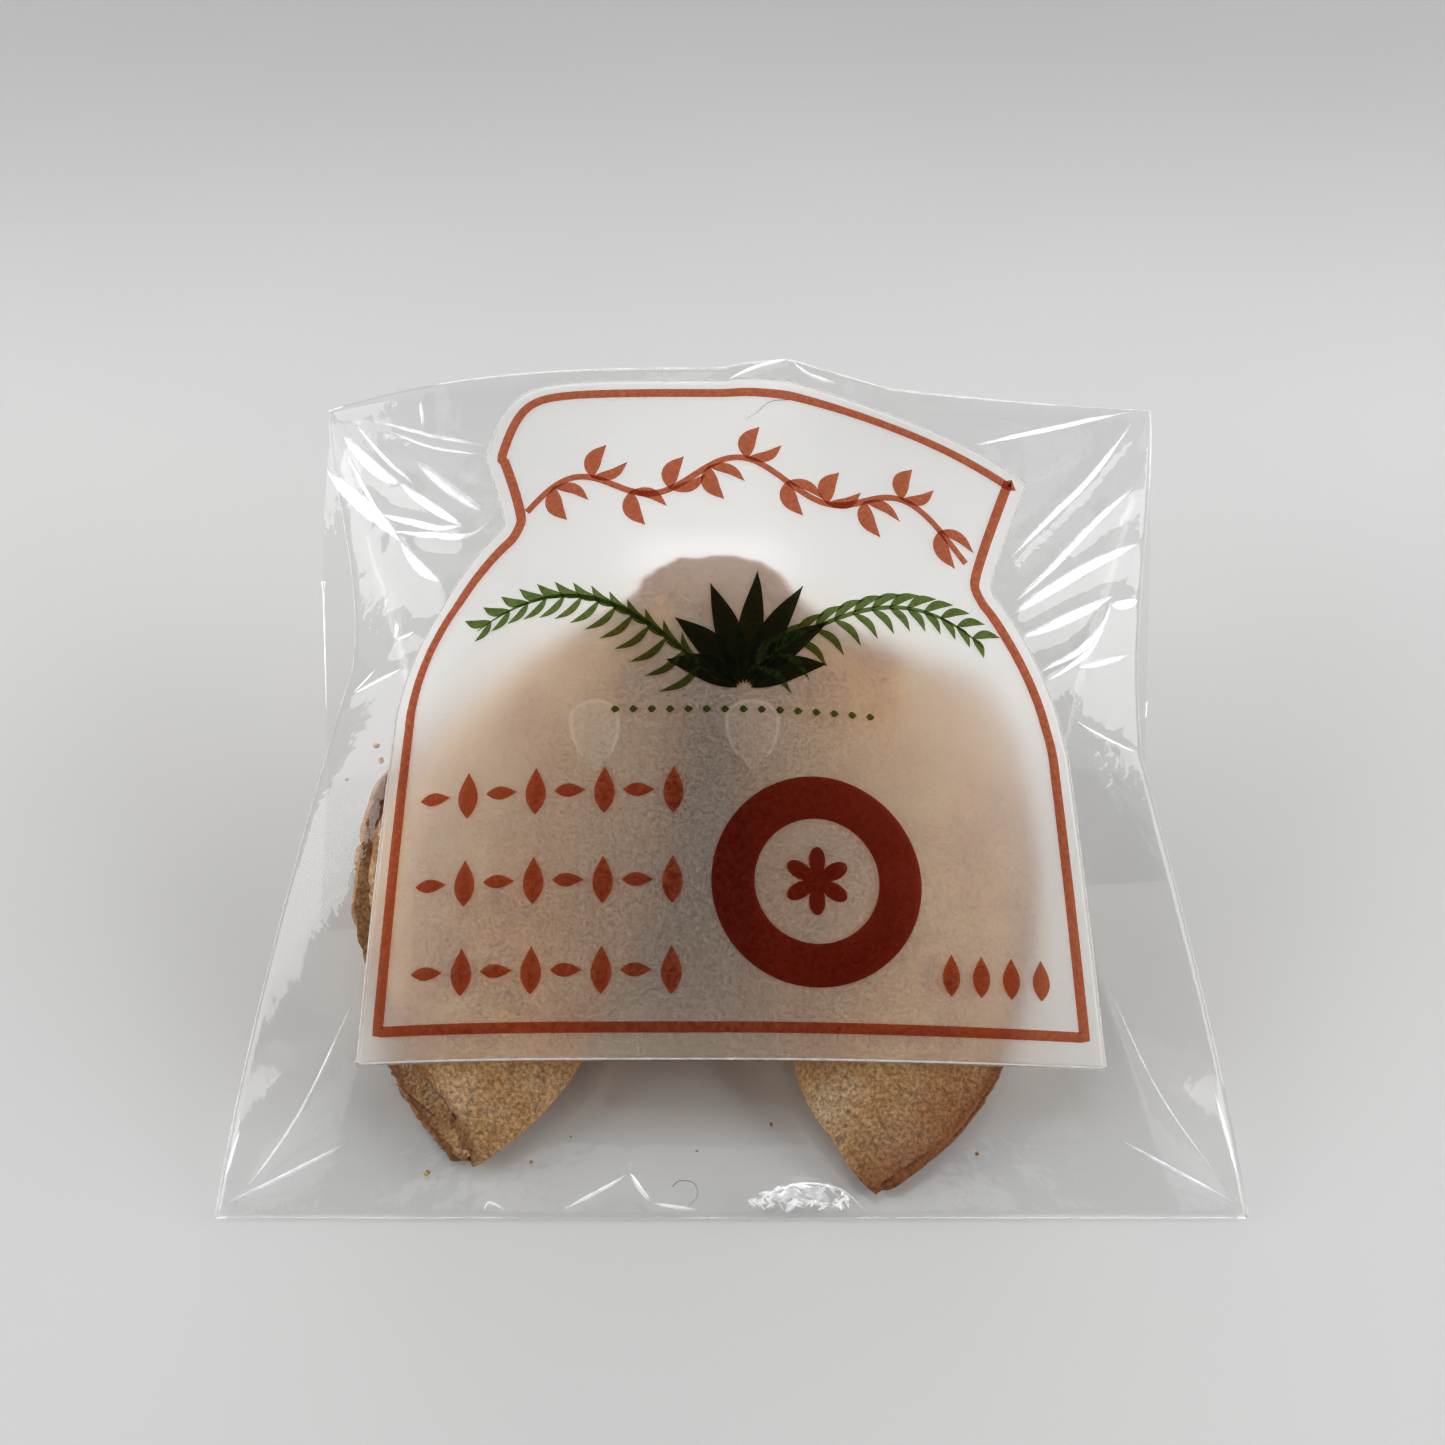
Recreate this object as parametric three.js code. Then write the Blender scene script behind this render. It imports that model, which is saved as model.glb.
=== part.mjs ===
import * as THREE from 'three';

// A clear sealed bag that holds one fortune cookie, with a label stuck on its front.
// Millimetres, +Z up. The bag lies on Z = 0, with its foot towards -Y and its top edge towards +Y.
// The bag is one closed solid of the outer shape that the film takes over the cookie inside it.

// Driving dimensions of the bag.
const bagWidth = 102;          // along the foot seam
const bagDepth = 86.2;         // from the foot seam to the top corners, seen from above
const cornerHeight = 33;       // the cookie props the top edge up off the table
const seamThickness = 0.5;     // the flat seams, where front and back film meet
const crestHeight = 36;        // the film over the highest point of the cookie
const crestDistance = 57;      // from the foot seam back to that point
const topMiddleHeight = 42.6;  // the top edge bows up between its corners
const topMiddleForward = 4.8;  // and is drawn towards the foot as it does
const rampRise = 35.5;         // what the front climbs on its straight way from foot to crest
const backLiftDistance = 54;   // from the foot seam back to where the back film leaves the table
const kneeSoftness = 1.2;      // how gently the front film turns over the crest

// A small pointed fold in the top edge, right of the middle. It fades out towards the foot.
const tent = { peakAt: 6.5, leftReach: 7.5, rightReach: 11.5, height: 2.2, fade: 24 };

// How each side seam runs in plan: drawn in beside the cookie and out again to the top corner.
const leftSeam = { pinch: 8.9, pinchAt: 0.646, atTop: 3.4 };
const rightSeam = { pinch: 6.1, pinchAt: 0.523, atTop: 1.1 };
const seamTaper = 1.35;
const seamReturn = 1.5;

// How square-shouldered the film is over the cookie: 1 is a straight tent, 8 is nearly a box.
// The front loses some of it towards the top edge.
const leftFullness = { atFoot: 3.8, loss: 1.2, lossPower: 4 };
const rightFullness = { atFoot: 1.75, loss: 0.72, lossPower: 8 };
const backFullness = 8;

// The flap: the back film runs on past the top edge, folds over it and comes down behind the bag.
const flapTableLine = 14.4;    // where it meets the table, measured from the bag's middle
const flapBulge = { at: 0.64, reach: 0.26, depth: 2.4 };  // where the cookie's right side pushes it back
const flapStandOff = 0.35;     // how far behind the top edge it starts
const flapGap = 0.35;
const flapThickness = 0.7;     // measured upright; the sheet leans, so it is 0.4 across
const flapFlare = { left: 1.4, right: 0.7 };
const flapTentFade = 8;

// The label, as cut from its flat sheet. Heights are measured along the film from the label's foot.
const labelFootHalf = 37.8;
const labelSideHalf = 36.6;
const labelFootDistance = 14.9;  // along the film, from the foot seam to the label's foot
const labelCornerHeight = 65.5;  // to the two flared corners
const labelArchRise = 9.6;       // of the arched top above them
const labelGap = 0.35;
const labelThickness = 0.3;
const leftOutline = { shoulder: 36, shoulderCurve: 2.5, neck: 57, neckHalf: 26.5, flareHalf: 29, arch: 12 };
const rightOutline = { shoulder: 33, shoulderCurve: 2, neck: 52, neckHalf: 26.9, flareHalf: 32.2, arch: 1.9 };
const flareCurve = 1.2;
const cornerBluntness = 0.05;    // the share of the arch's rise that is left at its two ends

// How finely each surface is divided.
const bagColumns = 36;
const bagRows = 34;
const flapColumns = 36;
const flapRows = 10;
const labelColumns = 20;
const labelSideRows = 20;
const labelArchRows = 3;
const walkSteps = 240;

const footY = -bagDepth / 2;
const crestY = footY + crestDistance;
const topMiddleY = footY + bagDepth - topMiddleForward;
const rampSlope = rampRise / crestDistance;
const crestSlope = (topMiddleHeight - crestHeight) / (topMiddleY - crestY);
const backLiftY = footY + backLiftDistance;
const backSlope = (topMiddleHeight - seamThickness) / (topMiddleY - backLiftY);

// Half the bag's width on one side, at a share along of the way from foot to top.
function seamHalfWidth(seam, along) {
  if (along < seam.pinchAt) {
    return bagWidth / 2 - seam.pinch * (along / seam.pinchAt) ** seamTaper;
  }
  const beyond = (along - seam.pinchAt) / (1 - seam.pinchAt);
  const drawnIn = seam.atTop + (seam.pinch - seam.atTop) * Math.cos(beyond * Math.PI / 2) ** seamReturn;
  return bagWidth / 2 - drawnIn;
}

// The front film on the bag's middle line: a straight ramp that turns over the crest.
function frontMiddle(y) {
  const ramp = seamThickness + rampSlope * (y - footY);
  const crest = crestHeight + crestSlope * (y - crestY);
  return -kneeSoftness * Math.log(Math.exp(-ramp / kneeSoftness) + Math.exp(-crest / kneeSoftness));
}

// The back film there: flat on the table, then straight up to the top edge.
function backMiddle(y) {
  return Math.max(0, backSlope * (y - backLiftY));
}

// How far the tent lifts the film at a place along the top edge.
function tentRise(x) {
  const fromPeak = x - tent.peakAt;
  const reach = fromPeak < 0 ? tent.leftReach : tent.rightReach;
  return tent.height * Math.max(0, 1 - Math.abs(fromPeak) / reach);
}

// One point of the bag: across runs from -1 at the left seam to 1 at the right one, and along
// from 0 at the foot seam to 1 at the top edge.
function bagPoint(across, along) {
  const left = seamHalfWidth(leftSeam, along);
  const right = seamHalfWidth(rightSeam, along);
  const x = (right - left) / 2 + (right + left) / 2 * across;
  const forward = topMiddleForward * along ** 3;
  const middleY = footY + bagDepth * along - forward;
  const y = middleY + forward * across ** 2;

  const side = across < 0 ? leftFullness : rightFullness;
  const fullness = side.atFoot - side.loss * along ** side.lossPower;
  const reach = Math.abs(across);
  const seamHeight = seamThickness + (cornerHeight - seamThickness) * along;
  const middleHeight = frontMiddle(middleY);
  const overCookie = (middleHeight - seamHeight) * (1 - reach ** fullness);
  const front = seamHeight + overCookie + tentRise(x) * along ** tent.fade;

  const room = Math.max(0, middleHeight - backMiddle(middleY) - seamThickness);
  const back = Math.max(0, front - seamThickness - room * (1 - reach ** backFullness));
  return { x, y, top: front, bottom: back };
}

// One point of the flap: across as for the bag, and down from 0 at the top edge to 1 at the table.
function flapPoint(across, down) {
  const edge = bagPoint(across, 1);
  const tentHere = tentRise(edge.x);
  const startY = edge.y + flapStandOff * (1 - across ** 2);
  const startZ = edge.bottom - tentHere - flapGap;
  const side = across < 0 ? -flapFlare.left : flapFlare.right;
  const x = edge.x + side * Math.abs(across) * Math.min(1, 3 * down);
  const fromBulge = (across - flapBulge.at) / flapBulge.reach;
  const tableLine = flapTableLine + flapBulge.depth * Math.exp(-(fromBulge ** 2));
  const y = startY + (tableLine - startY) * down;
  const top = startZ + (flapThickness - startZ) * down + tentHere * (1 - down) ** flapTentFade;
  return { x, y, top, bottom: top - flapThickness };
}

// A closed solid between a top and a bottom surface that share one outline. pointAt takes two
// shares from 0 to 1 and gives x, y, top and bottom.
function solidBetween(columns, rows, pointAt) {
  const positions = [];
  const faces = [];
  const layer = (columns + 1) * (rows + 1);
  for (const side of ['top', 'bottom']) {
    for (let row = 0; row <= rows; row++) {
      for (let column = 0; column <= columns; column++) {
        const point = pointAt(column / columns, row / rows);
        positions.push(point.x, point.y, point[side]);
      }
    }
  }
  const top = (column, row) => row * (columns + 1) + column;
  const bottom = (column, row) => layer + top(column, row);
  const wall = (fromColumn, fromRow, toColumn, toRow) => {
    faces.push(top(fromColumn, fromRow), bottom(fromColumn, fromRow), bottom(toColumn, toRow));
    faces.push(top(fromColumn, fromRow), bottom(toColumn, toRow), top(toColumn, toRow));
  };
  for (let row = 0; row < rows; row++) {
    for (let column = 0; column < columns; column++) {
      faces.push(top(column, row), top(column + 1, row), top(column + 1, row + 1));
      faces.push(top(column, row), top(column + 1, row + 1), top(column, row + 1));
      faces.push(bottom(column, row), bottom(column + 1, row + 1), bottom(column + 1, row));
      faces.push(bottom(column, row), bottom(column, row + 1), bottom(column + 1, row + 1));
    }
    wall(columns, row, columns, row + 1);
    wall(0, row + 1, 0, row);
  }
  for (let column = 0; column < columns; column++) {
    wall(column, 0, column + 1, 0);
    wall(column + 1, rows, column, rows);
  }
  const geometry = new THREE.BufferGeometry();
  geometry.setAttribute('position', new THREE.Float32BufferAttribute(positions, 3));
  geometry.setIndex(faces);
  geometry.computeVertexNormals();
  return geometry;
}

// The share of a line on the front film at which its length reaches a given distance. lineAt
// takes that share, from 0 to 1.
function shareAtLength(lineAt, distance) {
  let walked = 0;
  let last = lineAt(0);
  for (let step = 1; step <= walkSteps; step++) {
    const next = lineAt(step / walkSteps);
    const stride = Math.hypot(next.x - last.x, next.y - last.y, next.top - last.top);
    if (walked + stride >= distance) {
      return (step - 1 + (distance - walked) / stride) / walkSteps;
    }
    walked += stride;
    last = next;
  }
  return 1;
}

// A point of the label, by its place on the flat sheet: sideways from the middle line and up from
// the label's foot. The sheet is laid on the film without stretching.
function labelPoint(sideways, up) {
  const along = shareAtLength((share) => bagPoint(0, share), labelFootDistance + up);
  const direction = sideways < 0 ? -1 : 1;
  const across = shareAtLength((share) => bagPoint(direction * share, along), Math.abs(sideways));
  const film = bagPoint(direction * across, along);
  const bottom = film.top + labelGap;
  return { x: film.x, y: film.y, top: bottom + labelThickness, bottom };
}

// Half the label's width at a height on one side: straight sides, round shoulders, then a neck
// that flares out again to the corner.
function labelHalfWidth(outline, up) {
  if (up < outline.shoulder) {
    return labelFootHalf + (labelSideHalf - labelFootHalf) * up / outline.shoulder;
  }
  if (up < outline.neck) {
    const turned = (up - outline.shoulder) / (outline.neck - outline.shoulder);
    return outline.neckHalf + (labelSideHalf - outline.neckHalf) * (1 - turned ** outline.shoulderCurve);
  }
  const flared = (up - outline.neck) / (labelCornerHeight - outline.neck);
  return outline.neckHalf + (outline.flareHalf - outline.neckHalf) * flared ** flareCurve;
}

// The height of the label's arched top at a place sideways.
function labelTop(sideways) {
  const outline = sideways < 0 ? leftOutline : rightOutline;
  const outward = Math.abs(sideways) / outline.flareHalf;
  const fall = (1 - cornerBluntness) * outward ** outline.arch;
  return labelCornerHeight + labelArchRise * (1 - fall);
}

// Rows up to the flared corners, then a few more that follow the arch.
function labelSurface(columnShare, rowShare) {
  const rows = labelSideRows + labelArchRows;
  const row = Math.round(rowShare * rows);
  const up = Math.min(row / labelSideRows, 1) * labelCornerHeight;
  const left = labelHalfWidth(leftOutline, up);
  const right = labelHalfWidth(rightOutline, up);
  const sideways = -left + (left + right) * columnShare;
  if (row <= labelSideRows) {
    return labelPoint(sideways, up);
  }
  const archShare = (row - labelSideRows) / labelArchRows;
  return labelPoint(sideways, up + (labelTop(sideways) - up) * archShare);
}

function makeBag() {
  const geometry = solidBetween(bagColumns, bagRows, (c, r) => bagPoint(2 * c - 1, r));
  const film = new THREE.MeshStandardMaterial({ color: '#e3e4e6', roughness: 0.12, metalness: 0 });
  const mesh = new THREE.Mesh(geometry, film);
  mesh.name = 'bag';
  return mesh;
}

function makeFlap() {
  const geometry = solidBetween(flapColumns, flapRows, (c, r) => flapPoint(2 * c - 1, 1 - r));
  const film = new THREE.MeshStandardMaterial({ color: '#e3e4e6', roughness: 0.12, metalness: 0 });
  const mesh = new THREE.Mesh(geometry, film);
  mesh.name = 'flap';
  return mesh;
}

function makeLabel() {
  const geometry = solidBetween(labelColumns, labelSideRows + labelArchRows, labelSurface);
  const frostedSheet = new THREE.MeshStandardMaterial({ color: '#d9cfc9', roughness: 0.45, metalness: 0 });
  const mesh = new THREE.Mesh(geometry, frostedSheet);
  mesh.name = 'label';
  return mesh;
}

const cookieBag = new THREE.Group();
cookieBag.add(makeBag());
cookieBag.add(makeFlap());
cookieBag.add(makeLabel());

export default cookieBag;
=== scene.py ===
import math
import random

import bmesh
import bpy
import numpy as np
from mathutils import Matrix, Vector, noise


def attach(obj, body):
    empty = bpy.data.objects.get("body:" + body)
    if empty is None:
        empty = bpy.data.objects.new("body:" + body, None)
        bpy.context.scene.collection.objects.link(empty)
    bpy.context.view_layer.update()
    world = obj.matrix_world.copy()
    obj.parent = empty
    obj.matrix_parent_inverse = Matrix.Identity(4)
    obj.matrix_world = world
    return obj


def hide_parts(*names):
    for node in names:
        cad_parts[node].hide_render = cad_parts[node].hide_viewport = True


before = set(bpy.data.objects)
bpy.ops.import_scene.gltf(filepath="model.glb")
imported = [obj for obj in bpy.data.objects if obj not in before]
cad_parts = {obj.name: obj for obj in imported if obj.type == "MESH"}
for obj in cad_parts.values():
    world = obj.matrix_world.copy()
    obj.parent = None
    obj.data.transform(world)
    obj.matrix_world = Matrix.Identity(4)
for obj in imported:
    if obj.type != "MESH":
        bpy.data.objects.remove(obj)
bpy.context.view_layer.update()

# All sizes below are in millimetres, in the part's own frame, and go to metres by this.
mm = 0.001


def srgb(code):
    # a hex colour as the linear values that a shader takes
    parts = [int(code[i:i + 2], 16) / 255 for i in (1, 3, 5)]
    return tuple(c / 12.92 if c <= 0.04045 else ((c + 0.055) / 1.055) ** 2.4 for c in parts) + (1,)


def addNode(tree, kind, inputs=None, **settings):
    # adds a node, sets it up, and links or fills its inputs
    node = tree.nodes.new("ShaderNode" + kind)
    for name, value in settings.items():
        setattr(node, name, value)
    for socket, value in (inputs or {}).items():
        if isinstance(value, bpy.types.NodeSocket):
            tree.links.new(value, node.inputs[socket])
        else:
            node.inputs[socket].default_value = value
    return node


def newMaterial(name):
    # an empty material, its tree and the place on the piece, which patterns follow
    material = bpy.data.materials.new(name)
    material.use_nodes = True
    tree = material.node_tree
    tree.nodes.clear()
    return material, tree, addNode(tree, "TexCoord").outputs["Object"]


def setRamp(node, stops):
    # fills a colour ramp from (position, hex) pairs
    ramp = node.color_ramp
    while len(ramp.elements) > 1:
        ramp.elements.remove(ramp.elements[-1])
    ramp.elements[0].position = stops[0][0]
    ramp.elements[0].color = srgb(stops[0][1])
    for position, code in stops[1:]:
        ramp.elements.new(position).color = srgb(code)


def makePiece(name, bm, material, replaced=None):
    # turns a bmesh in millimetres into a finished piece that rides with the part
    bmesh.ops.scale(bm, vec=(mm, mm, mm), verts=bm.verts)
    mesh = bpy.data.meshes.new(name)
    bm.to_mesh(mesh)
    bm.free()
    mesh.shade_smooth()
    piece = bpy.data.objects.new(name, mesh)
    bpy.context.scene.collection.objects.link(piece)
    piece.data.materials.append(material)
    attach(piece, "root")
    if replaced:
        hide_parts(replaced)
    return piece


def clamp(value):
    return max(0, min(1, value))


def smoothCurve(points, spacing):
    # points at an even spacing along a smooth curve through the given ones
    dense = points = [np.array(p, float) for p in points]
    steps = 16     # between each two points
    if len(points) > 2:
        ends = [2 * points[0] - points[1]] + points + [2 * points[-1] - points[-2]]
        dense = []
        for i in range(1, len(ends) - 2):
            a, b, c, d = ends[i - 1:i + 3]
            for t in np.arange(steps) / steps:
                dense.append(0.5 * (2 * b + (c - a) * t + (2 * a - 5 * b + 4 * c - d) * t * t
                                    + (3 * b - 3 * c + d - a) * t ** 3))
        dense.append(points[-1])
    dense = np.array(dense)
    walked = np.concatenate([[0], np.cumsum(np.linalg.norm(np.diff(dense, axis=0), axis=1))])
    count = max(2, int(round(walked[-1] / spacing)) + 1)
    stations = np.linspace(0, walked[-1], count)
    return np.stack([np.interp(stations, walked, dense[:, k]) for k in range(dense.shape[1])], axis=1)


def addRibbon(bm, path, widthAt, columns=1, closed=False):
    # a flat band along a path in a plane; widthAt gives its width for a share along it
    rows = len(path) - 1
    grid = bmesh.ops.create_grid(bm, x_segments=columns, y_segments=rows, size=1)["verts"]
    grid.sort(key=lambda v: (round(v.co.y, 6), v.co.x))
    for row in range(rows + 1):
        before = path[row - 1] if row else (path[-2] if closed else path[0])
        after = path[row + 1] if row < rows else (path[1] if closed else path[-1])
        ahead = np.array(after[:2]) - np.array(before[:2])
        ahead /= max(np.linalg.norm(ahead), 1e-9)
        width = widthAt(row / rows)
        for column in range(columns + 1):
            side = (column / columns - 0.5) * width
            vert = grid[row * (columns + 1) + column]
            vert.co = (path[row][0] + ahead[1] * side, path[row][1] - ahead[0] * side, 0)
    return grid


# The bag's shape, as its solid has it.
bagShape = {
    "width": 102, "depth": 86.2, "cornerHeight": 33, "seamThickness": 0.5,
    "crestHeight": 36, "crestDistance": 57, "topMiddleHeight": 42.6, "topMiddleForward": 4.8,
    "rampRise": 35.5, "backLiftDistance": 54, "kneeSoftness": 1.2,
    "leftSeam": (8.9, 0.646, 3.4), "rightSeam": (6.1, 0.523, 1.1),  # pinch, where along, at the top
    "lowerSeamCurve": 1.35, "upperSeamCurve": 1.5,
    "leftFullness": (3.8, 1.2, 4), "rightFullness": (1.75, 0.72, 8),  # at the foot, loss, how late
    "backFullness": 8,
    "tentPeakAt": 6.5, "tentReach": (7.5, 11.5),        # where the top edge is lifted to a peak
    "tentHeight": 2.2, "tentFade": 24,
}
footY = -bagShape["depth"] / 2
crestY = footY + bagShape["crestDistance"]
topMiddleY = footY + bagShape["depth"] - bagShape["topMiddleForward"]
rampSlope = bagShape["rampRise"] / bagShape["crestDistance"]
crestSlope = (bagShape["topMiddleHeight"] - bagShape["crestHeight"]) / (topMiddleY - crestY)
backLiftY = footY + bagShape["backLiftDistance"]
backSlope = (bagShape["topMiddleHeight"] - bagShape["seamThickness"]) / (topMiddleY - backLiftY)


def seamHalfWidth(seam, along):
    # how far a side seam runs from the middle: the filled bag draws it in
    pinch, pinchAt, atTop = seam
    lower = pinch * (np.clip(along, 0, 1) / pinchAt) ** bagShape["lowerSeamCurve"]
    beyond = np.clip((along - pinchAt) / (1 - pinchAt), 0, 1)
    upper = atTop + (pinch - atTop) * np.cos(beyond * np.pi / 2) ** bagShape["upperSeamCurve"]
    return bagShape["width"] / 2 - np.where(along < pinchAt, lower, upper)


def bagSpan(along):
    # the middle between the side seams, and half the distance between them
    left = seamHalfWidth(bagShape["leftSeam"], along)
    right = seamHalfWidth(bagShape["rightSeam"], along)
    return (right - left) / 2, (right + left) / 2


def topForward(along):
    # how far the middle stays in front of the seams, because the cookie fills the bag
    return bagShape["topMiddleForward"] * along ** 3


def tentAt(x):
    # the lift of the top edge over its peak
    fromPeak = x - bagShape["tentPeakAt"]
    reach = np.where(fromPeak < 0, *bagShape["tentReach"])
    return bagShape["tentHeight"] * np.maximum(0, 1 - np.abs(fromPeak) / reach)


def frontMiddle(y):
    # height of the front along its middle: a ramp and a crest that meet in a soft knee
    soft = bagShape["kneeSoftness"]
    ramp = bagShape["seamThickness"] + rampSlope * (y - footY)
    crest = bagShape["crestHeight"] + crestSlope * (y - crestY)
    return -soft * np.log(np.exp(-ramp / soft) + np.exp(-crest / soft))


def bagPoint(across, along):
    # across runs from -1 to 1 between the side seams, along from 0 at the foot to 1 at the top
    middle, half = bagSpan(along)
    x = middle + half * across
    forward = topForward(along)
    middleY = footY + bagShape["depth"] * along - forward
    y = middleY + forward * across ** 2
    fullness = [start - loss * along ** curve
                for start, loss, curve in (bagShape["leftFullness"], bagShape["rightFullness"])]
    reach = np.abs(across)
    thin = bagShape["seamThickness"]
    seamHeight = thin + (bagShape["cornerHeight"] - thin) * along
    middleHeight = frontMiddle(middleY)
    tent = tentAt(x) * along ** bagShape["tentFade"]
    front = seamHeight + (middleHeight - seamHeight) * (1 - reach ** np.where(across < 0, *fullness)) + tent
    room = np.maximum(0, middleHeight - np.maximum(0, backSlope * (middleY - backLiftY)) - thin)
    back = np.maximum(0, front - thin - room * (1 - reach ** bagShape["backFullness"]))
    return x, y, front, back


def bagShares(x, y):
    # the shares across and along of the place on the bag that lies over x and y
    usualHalf, rounds = 47, 8     # a first guess, and how often it is bettered
    across = x / usualHalf
    along = (y - footY) / bagShape["depth"]
    for _ in range(rounds):
        along = np.clip((y - footY + topForward(along) * (1 - across ** 2)) / bagShape["depth"], 0, 1)
        middle, half = bagSpan(along)
        across = np.clip((x - middle) / half, -1, 1)
    return across, along


def bagHeights(x, y):
    # front and back height of the bag over x and y
    across, along = bagShares(x, y)
    return bagPoint(across, along)[2:]


film = {
    "cells": 200,            # along each side of the front and of the back
    "restLift": 0.12,        # the back film over the flap, which lies under it
    "wrinkle": 0.16,         # height of the soft wrinkles in the free corners
    "wrinkleSize": 9, "wrinkleStretch": (1.4, 1.3), "secondWrinkle": 0.8,
    "freeAcross": (0.6, 5), "freeAlong": (0.9, 2.2),     # where the film hangs free, and how soon
    "ridge": 0.35,           # how far the film rises to a crease
    "ridgeReach": 0.7,
    "drapeAt": (14.8, -40.4), "drapeLift": 0.7, "drapeReach": 4.5,   # over the right tip of the wafer
    "plainRim": 1.2,         # width along the seams that stays flat
}

# Creases of the front film: points in plan, width, and how bright the painted glint on the fold is.
frontCreases = [
    ([(-47.2, 35.7), (-44.2, 31.7), (-39.1, 25.3), (-36.6, 21.7)], 1.35, 1.0),
    ([(-36.6, 21.7), (-33.9, 17.9), (-31.4, 15.3)], 1.1, 0.9),
    ([(-45.1, 38.1), (-40.9, 32.6), (-37.1, 28.5)], 1.2, 1.0),
    ([(-37.1, 28.5), (-33.1, 24.5), (-29.3, 20.6)], 1.0, 1.0),
    ([(-43.5, 38.8), (-39.7, 33.3), (-35.5, 27.9)], 0.5, 0.7),
    ([(-39.3, 26.1), (-35.8, 23.9), (-32.0, 21.4), (-29.2, 20.4)], 0.8, 1.0),
    ([(-37.7, 23.3), (-33.4, 21.3), (-28.9, 19.4), (-25.5, 20.7)], 0.55, 0.9),
    ([(-35.4, 30.9), (-31.1, 26.1), (-27.0, 22.0)], 1.3, 0.35),
    ([(-44.8, 36.3), (-41.7, 30.4), (-37.7, 22.9)], 0.5, 0.7),
    ([(-36.5, 13.3), (-36.3, 10.8)], 0.7, 0.9),
    ([(-36.3, 10.8), (-34.1, 11.0)], 0.5, 0.8),
    ([(-41.4, 7.5), (-38.6, 9.0)], 0.4, 0.6),
    ([(-41.3, 7.4), (-35.1, 7.3)], 0.4, 0.7),
    ([(-35.6, 38.7), (-34.9, 34.9)], 0.5, 0.6),
    ([(-41.0, 38.2), (-34.1, 33.7), (-26.9, 30.0)], 0.5, 0.35),
    ([(-39.4, 36.3), (-33.5, 32.0), (-26.9, 28.8)], 0.4, 0.3),
    ([(27.3, 32.0), (38.7, 37.8), (46.9, 41.8)], 0.6, 0.8),
    ([(30.7, 19.1), (35.9, 25.4), (41.3, 31.9), (47.0, 40.0)], 0.7, 0.8),
    ([(31.0, 14.2), (35.4, 19.2), (41.1, 26.3), (46.6, 32.3)], 0.8, 0.8),
    ([(30.5, 12.7), (35.2, 16.8), (40.7, 21.5), (46.3, 25.6)], 1.15, 0.9),
    ([(31.3, 10.6), (34.9, 12.8), (42.7, 18.3)], 1.1, 0.9),
    ([(42.4, 17.0), (46.0, 19.3)], 1.0, 0.95),
    ([(33.4, 7.5), (34.6, 8.5), (37.9, 10.8), (40.9, 14.3), (42.4, 17.3)], 0.7, 0.9),
    ([(34.0, 6.8), (36.6, 8.8), (39.2, 11.2), (41.6, 14.8)], 0.5, 0.8),
    ([(37.8, 9.1), (44.5, 12.9)], 0.7, 0.35),
    ([(37.0, 3.7), (40.0, 2.8), (44.2, 2.0)], 0.4, 0.7),
    ([(-50.2, -42.2), (-38.0, -36.9)], 0.5, 0.6),
    ([(50.2, -42.2), (38.7, -36.5)], 0.5, 0.6),
    ([(-50.3, -39.9), (-49.2, -35.5)], 0.5, 0.9),
    ([(48.8, -32.0), (50.2, -39.5)], 0.5, 0.9),
    ([(38.5, -22.2), (43.0, -32.0), (49.3, -41.0)], 0.3, 0.25),
    ([(-38.3, -24.3), (-43.3, -34.3), (-49.3, -42.4)], 0.4, 0.35),
    ([(-16.7, -42.6), (-13.0, -41.1), (-10.1, -39.8)], 0.4, 1.0),
    ([(-10.1, -39.8), (-9.1, -40.9), (-7.9, -42.1)], 0.6, 1.0),
    ([(-7.9, -42.1), (-3.1, -42.6)], 0.35, 0.9),
    ([(-24.4, -42.6), (-23.9, -42.0), (-22.3, -42.6)], 0.3, 0.9),
    ([(1.2, -42.6), (3.6, -41.4), (7.2, -40.6), (10.7, -41.1), (13.1, -42.6)], 0.3, 0.8),
    ([(4.0, -42.0), (6.0, -41.3), (7.4, -41.9)], 1.0, 0.6),
    ([(6.9, -41.3), (8.7, -41.5), (9.9, -42.0)], 1.0, 0.7),
    ([(-0.6, 35.8), (3.1, 37.5), (6.5, 38.0)], 0.6, 1.0),
    ([(6.6, 38.0), (9.0, 37.0), (12.3, 36.7)], 0.6, 1.0),
]


# The crumpled patch under the right leg: a half-moon of small facets at all angles, each with a painted
# glint.
patch = {
    "seed": 23, "facets": 100, "middle": (7.1, -42.8), "reach": (5.7, 2.0), "lift": 0.15,
    "halfTurns": (0.08, 0.92), "fromMiddle": (0.05, 0.92), "tilt": 1.1, "flatness": 0.7, "kink": 0.08,
    "length": (0.4, 1.0), "width": (0.14, 0.42), "strength": (0.4, 1.0),
}


def patchFacets():
    draw = random.Random(patch["seed"])
    facets = []
    for _ in range(patch["facets"]):
        angle = draw.uniform(*patch["halfTurns"]) * math.pi
        out = math.sqrt(draw.uniform(*patch["fromMiddle"]))
        x = patch["middle"][0] + patch["reach"][0] * out * math.cos(angle)
        y = patch["middle"][1] + patch["reach"][1] * out * math.sin(angle) + patch["lift"]
        turn, half = draw.uniform(-patch["tilt"], patch["tilt"]), draw.uniform(*patch["length"])
        dx, dy = half * math.cos(turn), half * math.sin(turn) * patch["flatness"]
        points = [(x - dx, y - dy), (x, y + patch["kink"]), (x + dx, y + dy)]
        facets.append((points, draw.uniform(*patch["width"]), draw.uniform(*patch["strength"])))
    return facets


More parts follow.
